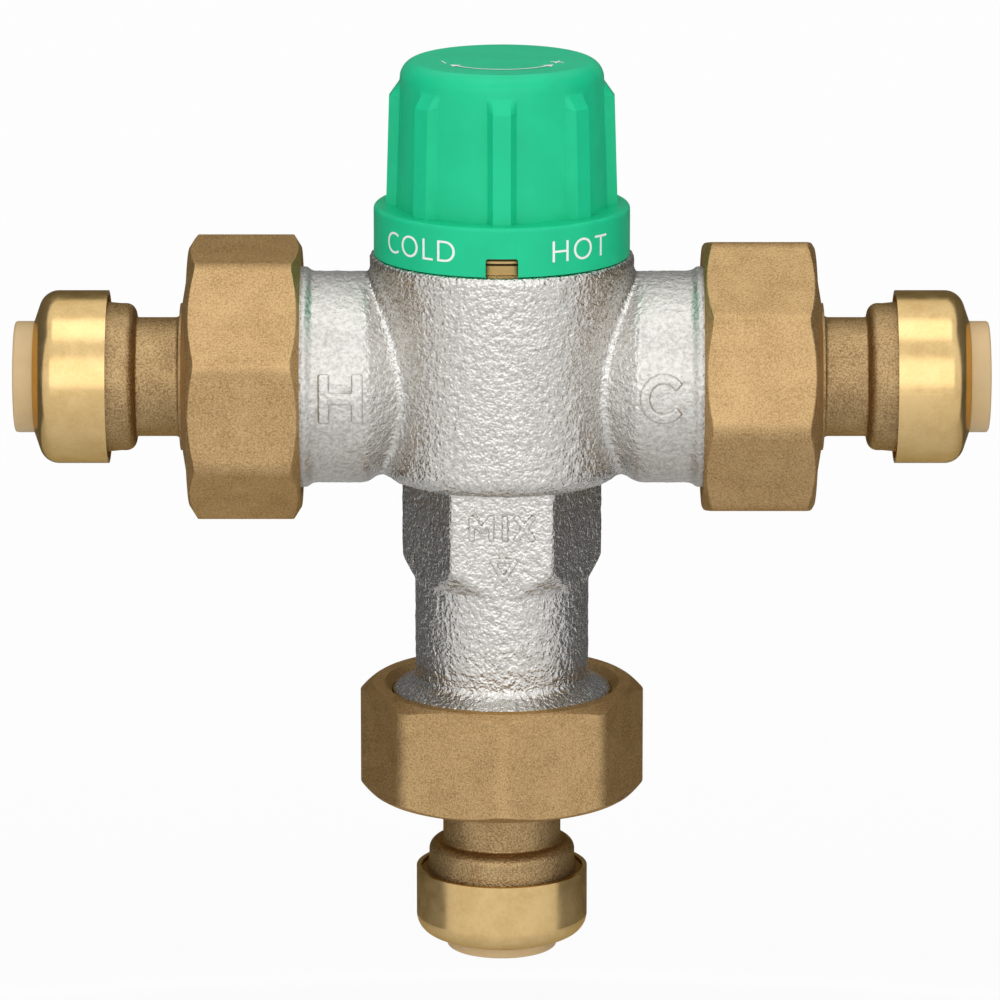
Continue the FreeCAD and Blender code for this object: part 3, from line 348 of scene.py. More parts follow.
@dataclass(frozen=True)
class CastSkin:
    """Nickel plate over a sand-cast surface, pebbled and bright."""

    name: str = "cast nickel plate"
    dark: tuple[float, float, float] = (0.50, 0.48, 0.45)
    light: tuple[float, float, float] = (0.70, 0.685, 0.655)
    pebble_mm: float = 0.80
    pebble_deep: float = 0.26
    fine_mm: float = 0.42
    fine_deep: float = 0.14
    arm_from: float = 21.4 * MM
    arm_to: float = 22.6 * MM
    arm_calm: float = 0.5
    arm_dull: float = 0.2

    def make(self) -> bpy.types.Material:
        """Build the material.

        Returns:
            The material.
        """
        recipe = Recipe(self.name)
        recipe.set(Metallic=1.0)
        pebble = recipe.noise(self.pebble_mm, 1.0, 0.5)
        fine = recipe.noise(self.fine_mm, 1.0, 0.5)
        shade = recipe.math("ADD", recipe.math("MULTIPLY", pebble, 0.45),
                            recipe.math("MULTIPLY", fine, 0.55))
        recipe.link(recipe.ramp(shade, ((0.36, self.dark), (0.60, self.light))), "Base Color")
        calm = recipe.span(0, self.arm_from, self.arm_to, 1.0, self.arm_calm)
        dull = recipe.span(0, self.arm_from, self.arm_to, 0.0, self.arm_dull)
        recipe.link(recipe.math("ADD", dull, recipe.ramp(fine, ((0.35, 0.20), (0.65, 0.30)))),
                    "Roughness")
        recipe.bump(((recipe.math("MULTIPLY", pebble, calm), self.pebble_deep),
                     (recipe.math("MULTIPLY", fine, calm), self.fine_deep)))
        return recipe.material


@dataclass(frozen=True)
class Moulded:
    """A moulded plastic or rubber, with a faint uneven sheen."""

    name: str
    colour: tuple[float, float, float]
    rough: float = 0.35
    spread: float = 0.06
    bump_deep: float = 0.004
    see_in: float = 0.0
    shine: float = 0.5

    def make(self) -> bpy.types.Material:
        """Build the material.

        Returns:
            The material.
        """
        recipe = Recipe(self.name)
        broad = recipe.noise(7.0, 3.0)
        fine = recipe.noise(0.22, 2.0)
        low = tuple(c * (1 - self.spread) for c in self.colour)
        high = tuple(min(1.0, c * (1 + self.spread)) for c in self.colour)
        recipe.link(recipe.ramp(broad, ((0.35, low), (0.65, high))), "Base Color")
        recipe.link(recipe.ramp(fine, ((0.3, self.rough * 0.9), (0.7, self.rough * 1.12))),
                    "Roughness")
        recipe.bump(((fine, self.bump_deep),))
        recipe.set(Specular_IOR_Level=self.shine)
        if self.see_in:
            recipe.set(Subsurface_Weight=self.see_in, Subsurface_Scale=0.002)
        return recipe.material


@dataclass(frozen=True)
class Ink:
    """Flat printing ink."""

    name: str = "white print"
    colour: tuple[float, float, float] = (0.86, 0.88, 0.86)

    def make(self) -> bpy.types.Material:
        """Build the material.

        Returns:
            The material.
        """
        recipe = Recipe(self.name)
        patch = recipe.noise(0.4, 2.0)
        low = tuple(c * 0.93 for c in self.colour)
        recipe.link(recipe.ramp(patch, ((0.3, low), (0.6, self.colour))), "Base Color")
        recipe.set(Roughness=0.5)
        return recipe.material


# ---------------------------------------------------------------- mesh work
def new_piece(name: str, form: bmesh.types.BMesh, material: bpy.types.Material,
              smooth: bool = True) -> bpy.types.Object:
    """Make an object of a finished bmesh.

    Args:
        name: The piece's name.
        form: The bmesh, which is freed.
        material: Its finish.
        smooth: Whether its faces are shaded smooth.

    Returns:
        The new object, linked to the scene.
    """
    mesh = bpy.data.meshes.new(name)
    form.to_mesh(mesh)
    form.free()
    mesh.materials.append(material)
    for face in mesh.polygons:
        face.use_smooth = smooth
    piece = bpy.data.objects.new(name, mesh)
    bpy.context.scene.collection.objects.link(piece)
    return piece


def copy_of(node: bpy.types.Object) -> bmesh.types.BMesh:
    """A merged copy of a frame node's mesh.

    Args:
        node: The node's object.

    Returns:
        A bmesh without doubled vertices.
    """
    form = bmesh.new()
    form.from_mesh(node.data)
    bmesh.ops.remove_doubles(form, verts=form.verts, dist=WELD)
    return form


def apply_modifiers(piece: bpy.types.Object) -> None:
    """Replace a piece's mesh by what its modifiers make of it.

    Args:
        piece: The object.
    """
    graph = bpy.context.evaluated_depsgraph_get()
    mesh = bpy.data.meshes.new_from_object(piece.evaluated_get(graph))
    old = piece.data
    piece.modifiers.clear()
    piece.data = mesh
    bpy.data.meshes.remove(old)


def smooth(form: bmesh.types.BMesh, verts: Iterable[bmesh.types.BMVert], passes: int) -> None:
    """Even vertices out with their neighbours.

    Args:
        form: The bmesh.
        verts: The vertices that move.
        passes: How many times they move.
    """
    for _ in range(passes):
        bmesh.ops.smooth_vert(form, verts=verts, factor=0.5,
                              use_axis_x=True, use_axis_y=True, use_axis_z=True)


def slice_up(form: bmesh.types.BMesh, way: tuple[float, float, float],
             spacing: float, reach: int) -> None:
    """Cut a form by evenly spaced planes, so that it bends smoothly.

    Args:
        form: The bmesh.
        way: The planes' normal, one of the axes.
        spacing: The distance from plane to plane.
        reach: The number of planes on each side of the middle.
    """
    for step in range(-reach, reach + 1):
        bmesh.ops.bisect_plane(form, geom=form.verts[:] + form.edges[:] + form.faces[:],
                               dist=1e-4, plane_co=[axis * step * spacing for axis in way],
                               plane_no=way)


def stroke(form: bmesh.types.BMesh, start: tuple[float, float], end: tuple[float, float],
           width: float, deep: float) -> None:
    """Add a straight bar with round ends between two points of the XZ plane, in millimetres.

    Args:
        form: The bmesh to add to.
        start: The first end.
        end: The other end.
        width: The bar's width.
        deep: Its depth, centred on the plane.
    """
    one, two = Vector((start[0], 0, start[1])), Vector((end[0], 0, end[1]))
    run = two - one
    turn = Matrix.Rotation(-math.atan2(run.z, run.x), 4, "Y")
    middle = Matrix.Translation((one + two) / 2)
    size = Matrix.Diagonal((run.length + width * 0.5, deep, width, 1))
    bar = bmesh.ops.create_cube(form, size=1.0, matrix=middle @ turn @ size)
    edges = {edge for vert in bar["verts"] for edge in vert.link_edges}
    bmesh.ops.bevel(form, geom=list(edges), offset=width * 0.16, offset_type="OFFSET",
                    affect="EDGES", segments=2, profile=0.5, material=-1)


# ---------------------------------------------------------------- the casting
@dataclass
class CastBody:
    """The plated casting: its raised marks, its skin and its softened corners."""

    frame: dict
    voxel: float = 0.46 * MM
    keep: float = 0.54
    level: float = 0.0
    arm_r: float = 17.25 * MM
    arm_bore: float = 14.0 * MM
    thread_from: float = 30.9 * MM
    chamber_half: float = 21.0 * MM
    chamber_r: float = 18.0 * MM
    cross_bore: float = 16.6 * MM
    mouth_r: float = 18.5 * MM
    mouth_from: float = 16.0 * MM
    turned_top: float = 20.3 * MM
    turned_foot: float = -48.3 * MM
    outlet_bore: float = 12.5 * MM
    block_half: float = 14.25
    pebble: float = 0.10 * MM
    coarse: float = 620.0
    coarse_share: float = 0.75
    medium: float = 1250.0
    medium_share: float = 0.85
    medium_shift: Vector = field(default_factory=lambda: Vector((5, 2, 9)))
    barrel_drop: float = 16.0 * MM
    barrel_r_top: float = 21.5 * MM
    barrel_r_low: float = 20.6 * MM
    barrel_top: float = 20.65 * MM
    barrel_round: float = 3.0 * MM
    waist_from: float = 21.9 * MM
    waist_slope: float = 0.68
    waist_skin: float = 0.6 * MM
    waist_clear: float = 1.015
    waist_step: float = 0.004
    even_passes: int = 2
    corner_passes: int = 8
    corner_past: float = 1.2 * MM
    corner_turned: float = 18.4 * MM
    corner_side: float = 12.2 * MM
    corner_near: float = 2.6 * MM
    corner_top: float = 18.2 * MM
    mark_voxel: float = 0.17 * MM
    mark_rise: float = 0.62
    mark_slice: float = 0.4
    mark_slices: int = 12
    mark_passes: int = 3
    marks: dict = field(default_factory=lambda: {
        "H": [((-2.7, 3.6), (-2.7, -3.6)), ((2.7, 3.6), (2.7, -3.6)), ((-2.7, 0), (2.7, 0))],
        "C": [tuple((3.0 * math.cos(math.radians(turn)), 3.3 * math.sin(math.radians(turn)))
                    for turn in (start, start + 20)) for start in range(40, 320, 20)],
        "M": [((-1.6, -1.9), (-1.6, 1.9)), ((-1.6, 1.9), (0, -0.4)), ((0, -0.4), (1.6, 1.9)),
              ((1.6, 1.9), (1.6, -1.9))],
        "I": [((0, -1.9), (0, 1.9))],
        "X": [((-1.4, -1.9), (1.4, 1.9)), ((1.4, -1.9), (-1.4, 1.9))],
        "arrow": [((-1.9, 1.5), (1.9, 1.5)), ((1.9, 1.5), (0, -1.8)), ((0, -1.8), (-1.9, 1.5))],
    })
    on_arms: tuple = (("H", (-26.0, 0.1), 1.9), ("C", (26.0, 0.1), 1.7))
    on_block: tuple = (("M", (-3.3, -22.0), 1.0), ("I", (0.5, -22.0), 1.0),
                       ("X", (3.7, -22.0), 1.0), ("arrow", (0.3, -28.9), 0.9))

    def mark(self, form: bmesh.types.BMesh, finish: bpy.types.Material, name: str,
             at: tuple[float, float], width: float, round_r: float | None = None) -> None:
        """Add one raised mark to the casting's front.

        Args:
            form: The casting's bmesh.
            finish: The plated skin.
            name: The mark's key.
            at: Its middle across and up from the inlet level, in millimetres.
            width: The strokes' width in millimetres.
            round_r: Radius of the arm that it wraps, in millimetres, or None on the block.
        """
        letter = bmesh.new()
        for start, end in self.marks[name]:
            stroke(letter, start, end, width, self.mark_rise * 2)
        slice_up(letter, (0, 0, 1), self.mark_slice, self.mark_slices)
        bmesh.ops.translate(letter, verts=letter.verts, vec=(at[0], 0, at[1]))
        for vert in letter.verts:
            across, rise, up = vert.co
            if round_r is not None:
                angle = up / round_r
                reach = round_r - rise
                vert.co = Vector((across, -reach * math.cos(angle), reach * math.sin(angle)))
            else:
                vert.co.y = rise - self.block_half
        bmesh.ops.scale(letter, verts=letter.verts, vec=(MM, MM, MM))
        bmesh.ops.translate(letter, verts=letter.verts, vec=(0, 0, self.level))
        loose = new_piece("mark_" + name, letter, finish)
        self.skin_over(loose, self.mark_voxel)
        cast = bmesh.new()
        cast.from_mesh(loose.data)
        smooth(cast, cast.verts, self.mark_passes)
        cast.to_mesh(loose.data)
        cast.free()
        form.from_mesh(loose.data)
        mesh = loose.data
        bpy.data.objects.remove(loose)
        bpy.data.meshes.remove(mesh)

    def skin_over(self, piece: bpy.types.Object, voxel: float) -> None:
        """Join a piece's forms under one even skin.

        Args:
            piece: The object.
            voxel: The skin's mesh size.
        """
        remesh = piece.modifiers.new("skin", "REMESH")
        remesh.mode = "VOXEL"
        remesh.voxel_size = voxel
        remesh.use_smooth_shade = True
        apply_modifiers(piece)

    def roughness_at(self, place: Vector) -> float:
        """How much of the sand-cast skin shows at a place.

        Args:
            place: A point from the inlet level.

        Returns:
            0 on turned and inner faces, 1 on cast ones.
        """
        along, side = abs(place.x), math.hypot(place.y, place.z)
        turned = math.hypot(place.x, place.y)
        if along > self.thread_from or not self.turned_foot <= place.z <= self.turned_top:
            return 0.0
        if place.z < -self.arm_r and turned < self.outlet_bore:
            return 0.0
        if along > self.chamber_half:
            return 1.0 if side > self.arm_bore else 0.0
        if place.z > -self.arm_r and turned < self.chamber_r and side < self.cross_bore:
            return 0.0
        if place.z > self.mouth_from and turned < self.mouth_r:
            return 0.0
        return 1.0

    def cone_at(self, along: float) -> float:
        """The arm's radius where it draws in towards the barrel.

        Args:
            along: Distance from the centre line.

        Returns:
            The radius.
        """
        return self.arm_r - max(0.0, self.waist_from - along) * self.waist_slope

    def in_barrel(self, place: Vector) -> bool:
        """Whether a point lies in the round barrel.

        Args:
            place: The point from the inlet level.

        Returns:
            True inside.
        """
        turned = math.hypot(place.x, place.y)
        foot = self.barrel_round - self.barrel_drop
        if place.z < foot:
            fall = self.barrel_round ** 2 - (foot - place.z) ** 2
            return fall > 0 and turned < self.barrel_r_low - self.barrel_round + math.sqrt(fall)
        share = (place.z + self.barrel_drop) / (self.barrel_top + self.barrel_drop)
        return turned < self.barrel_r_low + (self.barrel_r_top - self.barrel_r_low) * share

    def draw_in(self, form: bmesh.types.BMesh) -> None:
        """Draw both arms in as a cone down to the barrel's wall.

        Args:
            form: The casting's bmesh.
        """
        middle = Vector((0, 0, self.level))
        for vert in form.verts:
            place = vert.co - middle
            along, side = abs(place.x), math.hypot(place.y, place.z)
            if (along > self.waist_from or abs(side - self.arm_r) > self.waist_skin
                    or self.in_barrel(place * self.waist_clear)):
                continue
            cone, size = self.cone_at(along), 1.0
            while side * size > cone and not self.in_barrel(
                    Vector((place.x, place.y * size, place.z * size))):
                size -= self.waist_step
            vert.co = Vector((place.x, place.y * size, place.z * size)) + middle

    def soften(self, form: bmesh.types.BMesh) -> None:
        """Round the casting's edges, and fill the corner between barrel and arms.

        Args:
            form: The casting's bmesh.
        """
        self.draw_in(form)
        smooth(form, form.verts, self.even_passes)
        corner = []
        for vert in form.verts:
            place = vert.co - Vector((0, 0, self.level))
            along, side = abs(place.x), math.hypot(place.y, place.z)
            turned = math.hypot(place.x, place.y)
            if (along < self.waist_from + self.corner_past and turned > self.corner_turned
                    and side > self.corner_side
                    and abs(side - self.cone_at(along)) < self.corner_near
                    and place.z < self.corner_top):
                corner.append(vert)
        smooth(form, corner, self.corner_passes)

    def roughen(self, form: bmesh.types.BMesh) -> None:
        """Raise the sand-cast skin out of the cast faces.

        Args:
            form: The casting's bmesh.
        """
        form.normal_update()
        moves = []
        for vert in form.verts:
            amount = self.roughness_at(vert.co - Vector((0, 0, self.level)))
            if amount:
                coarse = noise.noise(vert.co * self.coarse)
                medium = noise.noise(vert.co * self.medium + self.medium_shift)
                moves.append((vert, vert.normal * (self.pebble * amount * (
                    self.coarse_share * coarse + self.medium_share * medium))))
        for vert, move in moves:
            vert.co += move

    def build(self, finish: bpy.types.Material) -> bpy.types.Object:
        """Make the casting.

        Args:
            finish: The plated skin.

        Returns:
            The piece that stands for the casting.
        """
        piece = new_piece("cast_body", copy_of(self.frame["nodes"]["valve_body"]), finish)
        self.skin_over(piece, self.voxel)
        form = bmesh.new()
        form.from_mesh(piece.data)
        self.soften(form)
        self.roughen(form)
        for name, at, width in self.on_arms:
            self.mark(form, finish, name, at, width, self.arm_r / MM)
        for name, at, width in self.on_block:
            self.mark(form, finish, name, at, width)
        form.to_mesh(piece.data)
        form.free()
        piece.data.materials.clear()
        piece.data.materials.append(finish)
        for face in piece.data.polygons:
            face.use_smooth = True
        thin = piece.modifiers.new("thin", "DECIMATE")
        thin.ratio = self.keep
        apply_modifiers(piece)
        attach(piece, "valve")
        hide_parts("valve_body")
        return piece


# ---------------------------------------------------------------- turned and moulded pieces
@dataclass
class SoftEdged:
    """A frame node made again with its edges broken, as tumbling or a mould leaves them."""

    frame: dict
    node: str
    body: str
    slot: str
    edge: float = 0.2 * MM
    segments: int = 2
    sharp_deg: float = 24.0
    flat_deg: float = 0.6
    crown: float = 0.0
    crown_drop: float = 0.04 * MM
    ribs: int = 0
    rib_r: tuple[float, float] = (16.2 * MM, 19.2 * MM)
    rib_crest: float = 1.0 * MM
    rib_foot: float = 2.35 * MM
    rib_widen: float = 0.42

    def round_top(self, form: bmesh.types.BMesh) -> None:
        """Lower the rim of the top to a larger round.

        Args:
            form: The piece's bmesh.
        """
        top = max(vert.co.z for vert in form.verts)
        rim = max(math.hypot(v.co.x, v.co.y) for v in form.verts if v.co.z > top - self.crown)
        for vert in form.verts:
            past = math.hypot(vert.co.x, vert.co.y) - (rim - self.crown)
            if past > 0 and vert.co.z > top - self.crown:
                room = max(self.crown ** 2 - past ** 2, 0.0)
                vert.co.z = min(vert.co.z, top - self.crown + math.sqrt(room))
            vert.co.z = min(vert.co.z, top - self.crown_drop)

    def widen_ribs(self, form: bmesh.types.BMesh) -> None:
        """Make the crests of the grip ribs wider and their flanks steeper.

        Args:
            form: The piece's bmesh.
        """
        step = math.tau / self.ribs
        for vert in form.verts:
            radius = math.hypot(vert.co.x, vert.co.y)
            angle = math.atan2(vert.co.y, vert.co.x)
            middle = round(angle / step) * step
            off = abs(angle - middle) * radius
            if self.rib_r[0] < radius < self.rib_r[1] and off < self.rib_foot:
                crest = min(1.0, (self.rib_foot - off) / (self.rib_foot - self.rib_crest))
                angle = middle + (angle - middle) * (1 + self.rib_widen * crest)
                vert.co.x, vert.co.y = radius * math.cos(angle), radius * math.sin(angle)

    def build(self, finish: bpy.types.Material) -> bpy.types.Object:
        """Make the piece.

        Args:
            finish: Its material.

        Returns:
            The piece that stands for the node.
        """
        form = copy_of(self.frame["nodes"][self.node])
        if self.crown:
            self.round_top(form)
        if self.ribs:
            self.widen_ribs(form)
        bmesh.ops.dissolve_limit(form, angle_limit=math.radians(self.flat_deg),
                                 verts=form.verts, edges=form.edges,
                                 use_dissolve_boundaries=False)
        sharp = [edge for edge in form.edges if len(edge.link_faces) == 2
                 and edge.calc_face_angle(0.0) > math.radians(self.sharp_deg)]
        bmesh.ops.bevel(form, geom=sharp, offset=self.edge, offset_type="OFFSET",
                        affect="EDGES", segments=self.segments, profile=0.5, material=-1,
                        clamp_overlap=True)
        piece = new_piece(self.node + "_dressed", form, finish)
        for edge in piece.data.edges:
            edge.use_edge_sharp = False
        weighted = piece.modifiers.new("even", "WEIGHTED_NORMAL")
        weighted.keep_sharp = False
        apply_modifiers(piece)
        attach(piece, self.body)
        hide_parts(self.node)
        return piece


@dataclass
class UnionPort:
    """The octagonal nut and the forged tail of one port."""

    frame: dict
    port: Port
    nut_edge: float = 0.28 * MM
    tail_edge: float = 0.2 * MM

    def build(self, finishes: dict[str, bpy.types.Material]) -> None:
        """Dress the port's pieces.

        Args:
            finishes: The materials by name.
        """
        name = self.port.prefix
        SoftEdged(self.frame, f"{name}_nut", f"{name}_union_nut", "nut_brass",
                  self.nut_edge).build(finishes["nut"])
        SoftEdged(self.frame, f"{name}_tail", "valve", "tail_brass",
                  self.tail_edge).build(finishes["tail"])
        LOG.info("%s port dressed", name)


@dataclass
class Cap:
    """The green cap with its print."""

    frame: dict
    level: float = 0.0
    edge: float = 0.35 * MM
    crown: float = 3.0 * MM
    ribs: int = 8
    skirt_r: float = 20.8
    skirt_lift: float = 0.015
    word_up: float = 24.4
    word_high: float = 3.6
    cold_at: float = -0.72
    hot_at: float = 0.66
    dial_r: float = 9.6
    dial_half: float = 0.85
    dial_width: float = 0.4
    dial_sink: float = 0.02 * MM
    head_r: float = 1.15
    head_past: float = 0.5
    sign_high: float = 3.4
    sign_past: float = 0.42
    capital: float = 0.70
    ink_thick: float = 0.02
    ink_thin: float = -0.055
    ink_space: float = 1.12
    ink_slice: float = 0.25
    ink_slices: int = 40
    names: dict = field(default_factory=lambda: {"+": "plus", "\u2013": "minus"})

    def around(self, piece: bpy.types.Object, radius: float, angle: float, up: float) -> None:
        """Wrap a flat piece round the skirt.

        Args:
            piece: A mesh drawn in its XY plane, in millimetres.
            radius: The skirt's radius in millimetres.
            angle: Where its middle goes, in radians from the front towards the cold side.
            up: Its middle above the inlet level, in millimetres.
        """
        for vert in piece.data.vertices:
            across, high, rise = vert.co
            turn = angle + across / radius
            reach = (radius + rise) * MM
            vert.co = (reach * math.sin(turn), -reach * math.cos(turn),
                       self.level + (up + high) * MM)

    def letters(self, text: str, height: float,
                finish: bpy.types.Material) -> bpy.types.Object:
        """Make a plain text as a thin raised mesh.

        Args:
            text: The text.
            height: Capital height in millimetres.
            finish: The ink.

        Returns:
            The piece, flat in its XY plane and in millimetres.
        """
        curve = bpy.data.curves.new("word", "FONT")
        curve.body = text
        curve.align_x = "CENTER"
        curve.align_y = "CENTER"
        curve.size = height / self.capital
        curve.extrude = self.ink_thick
        curve.offset = self.ink_thin
        curve.space_character = self.ink_space
        source = bpy.data.objects.new("word", curve)
        bpy.context.scene.collection.objects.link(source)
        graph = bpy.context.evaluated_depsgraph_get()
        mesh = bpy.data.meshes.new_from_object(source.evaluated_get(graph))
        bpy.data.objects.remove(source)
        form = bmesh.new()
        form.from_mesh(mesh)
        bpy.data.meshes.remove(mesh)
        bmesh.ops.remove_doubles(form, verts=form.verts, dist=0.001)
        slice_up(form, (1, 0, 0), self.ink_slice, self.ink_slices)
        return new_piece("print_" + self.names.get(text, text.lower()), form, finish, False)

    def word(self, text: str, angle: float, finish: bpy.types.Material) -> None:
        """Print a plain word on the skirt.

        Args:
            text: The word.
            angle: Where its middle goes, in radians from the front.
            finish: The ink.
        """
        piece = self.letters(text, self.word_high, finish)
        self.around(piece, self.skirt_r + self.skirt_lift, angle, self.word_up)
        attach(piece, "cap")

    def on_top(self, piece: bpy.types.Object, turn: float, out: float) -> None:
        """Lay a flat piece on the cap's top.

        Args:
            piece: A mesh drawn in its XY plane, in millimetres.
            turn: Where its middle goes, in radians from the front towards the cold side.
            out: Its distance from the middle in millimetres.
        """
        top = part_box("cap")[1][2]
        place = (Matrix.Translation((0, 0, top - self.dial_sink)) @ Matrix.Scale(MM, 4)
                 @ Matrix.Rotation(turn, 4, "Z") @ Matrix.Translation((0, -out, 0)))
        piece.data.transform(place)
        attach(piece, "cap")

    def dial(self, finish: bpy.types.Material) -> None:
        """Print a two-way arrow with a minus and a plus on the top.

        Args:
            finish: The ink.
        """
        form = bmesh.new()
        half = self.dial_half
        ends = [form.verts.new((0, -self.dial_r - side * self.dial_width / 2, 0))
                for side in (-1, 1)]
        edge = form.edges.new(ends)
        bmesh.ops.rotate(form, verts=ends, cent=(0, 0, 0),
                         matrix=Matrix.Rotation(-half, 3, "Z"))
        bmesh.ops.spin(form, geom=ends + [edge], axis=(0, 0, 1), cent=(0, 0, 0),
                       dvec=(0, 0, 0), angle=half * 2, steps=48, use_duplicate=False)
        for side in (-1, 1):
            head = Matrix.Rotation(side * half, 4, "Z") @ Matrix.Translation(
                (side * self.head_past, -self.dial_r, 0)) @ Matrix.Rotation(
                -side * math.pi / 2, 4, "Z")
            bmesh.ops.create_circle(form, cap_ends=True, segments=3, radius=self.head_r,
                                    matrix=head)
        for face in form.faces:
            if face.normal.z < 0:
                face.normal_flip()
        self.on_top(new_piece("print_dial", form, finish, False), 0.0, 0.0)
        for text, side in (("\u2013", -1), ("+", 1)):
            self.on_top(self.letters(text, self.sign_high, finish),
                        side * (half + self.sign_past), self.dial_r)

    def build(self, finishes: dict[str, bpy.types.Material]) -> None:
        """Dress the cap.

        Args:
            finishes: The materials by name.
        """
        SoftEdged(self.frame, "cap", "cap", "green_cap", self.edge, segments=3,
                  sharp_deg=16.0, crown=self.crown, ribs=self.ribs).build(finishes["cap"])
        self.word("COLD", self.cold_at, finishes["ink"])
        self.word("HOT", self.hot_at, finishes["ink"])
        self.dial(finishes["ink"])
        LOG.info("cap dressed")


@dataclass
class ClosingCoil:
    """A check valve's spring, made again as its own piece on the valve."""

    frame: dict
    port: Port
    travel: float = 3.5 * MM

    def build(self, finish: bpy.types.Material) -> None:
        """Make the spring.

        Args:
            finish: Its finish.
        """
        node = f"{self.port.prefix}_check_spring"
        piece = new_piece(f"{node}_coil", copy_of(self.frame["nodes"][node]), finish)
        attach(piece, "valve")
        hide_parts(node)
        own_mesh(piece)


@dataclass
class PlainDress:
    """Frame nodes whose shape stays, with the finish that each gets."""

    frame: dict
    finish_of: dict

    def build(self, finishes: dict[str, bpy.types.Material]) -> None:
        """Give each node its finish.

        Args:
            finishes: The materials by name.
        """
        for node, finish in self.finish_of.items():
            piece = self.frame["nodes"][node]
            for slot in piece.material_slots:
                slot.material = finishes[finish]


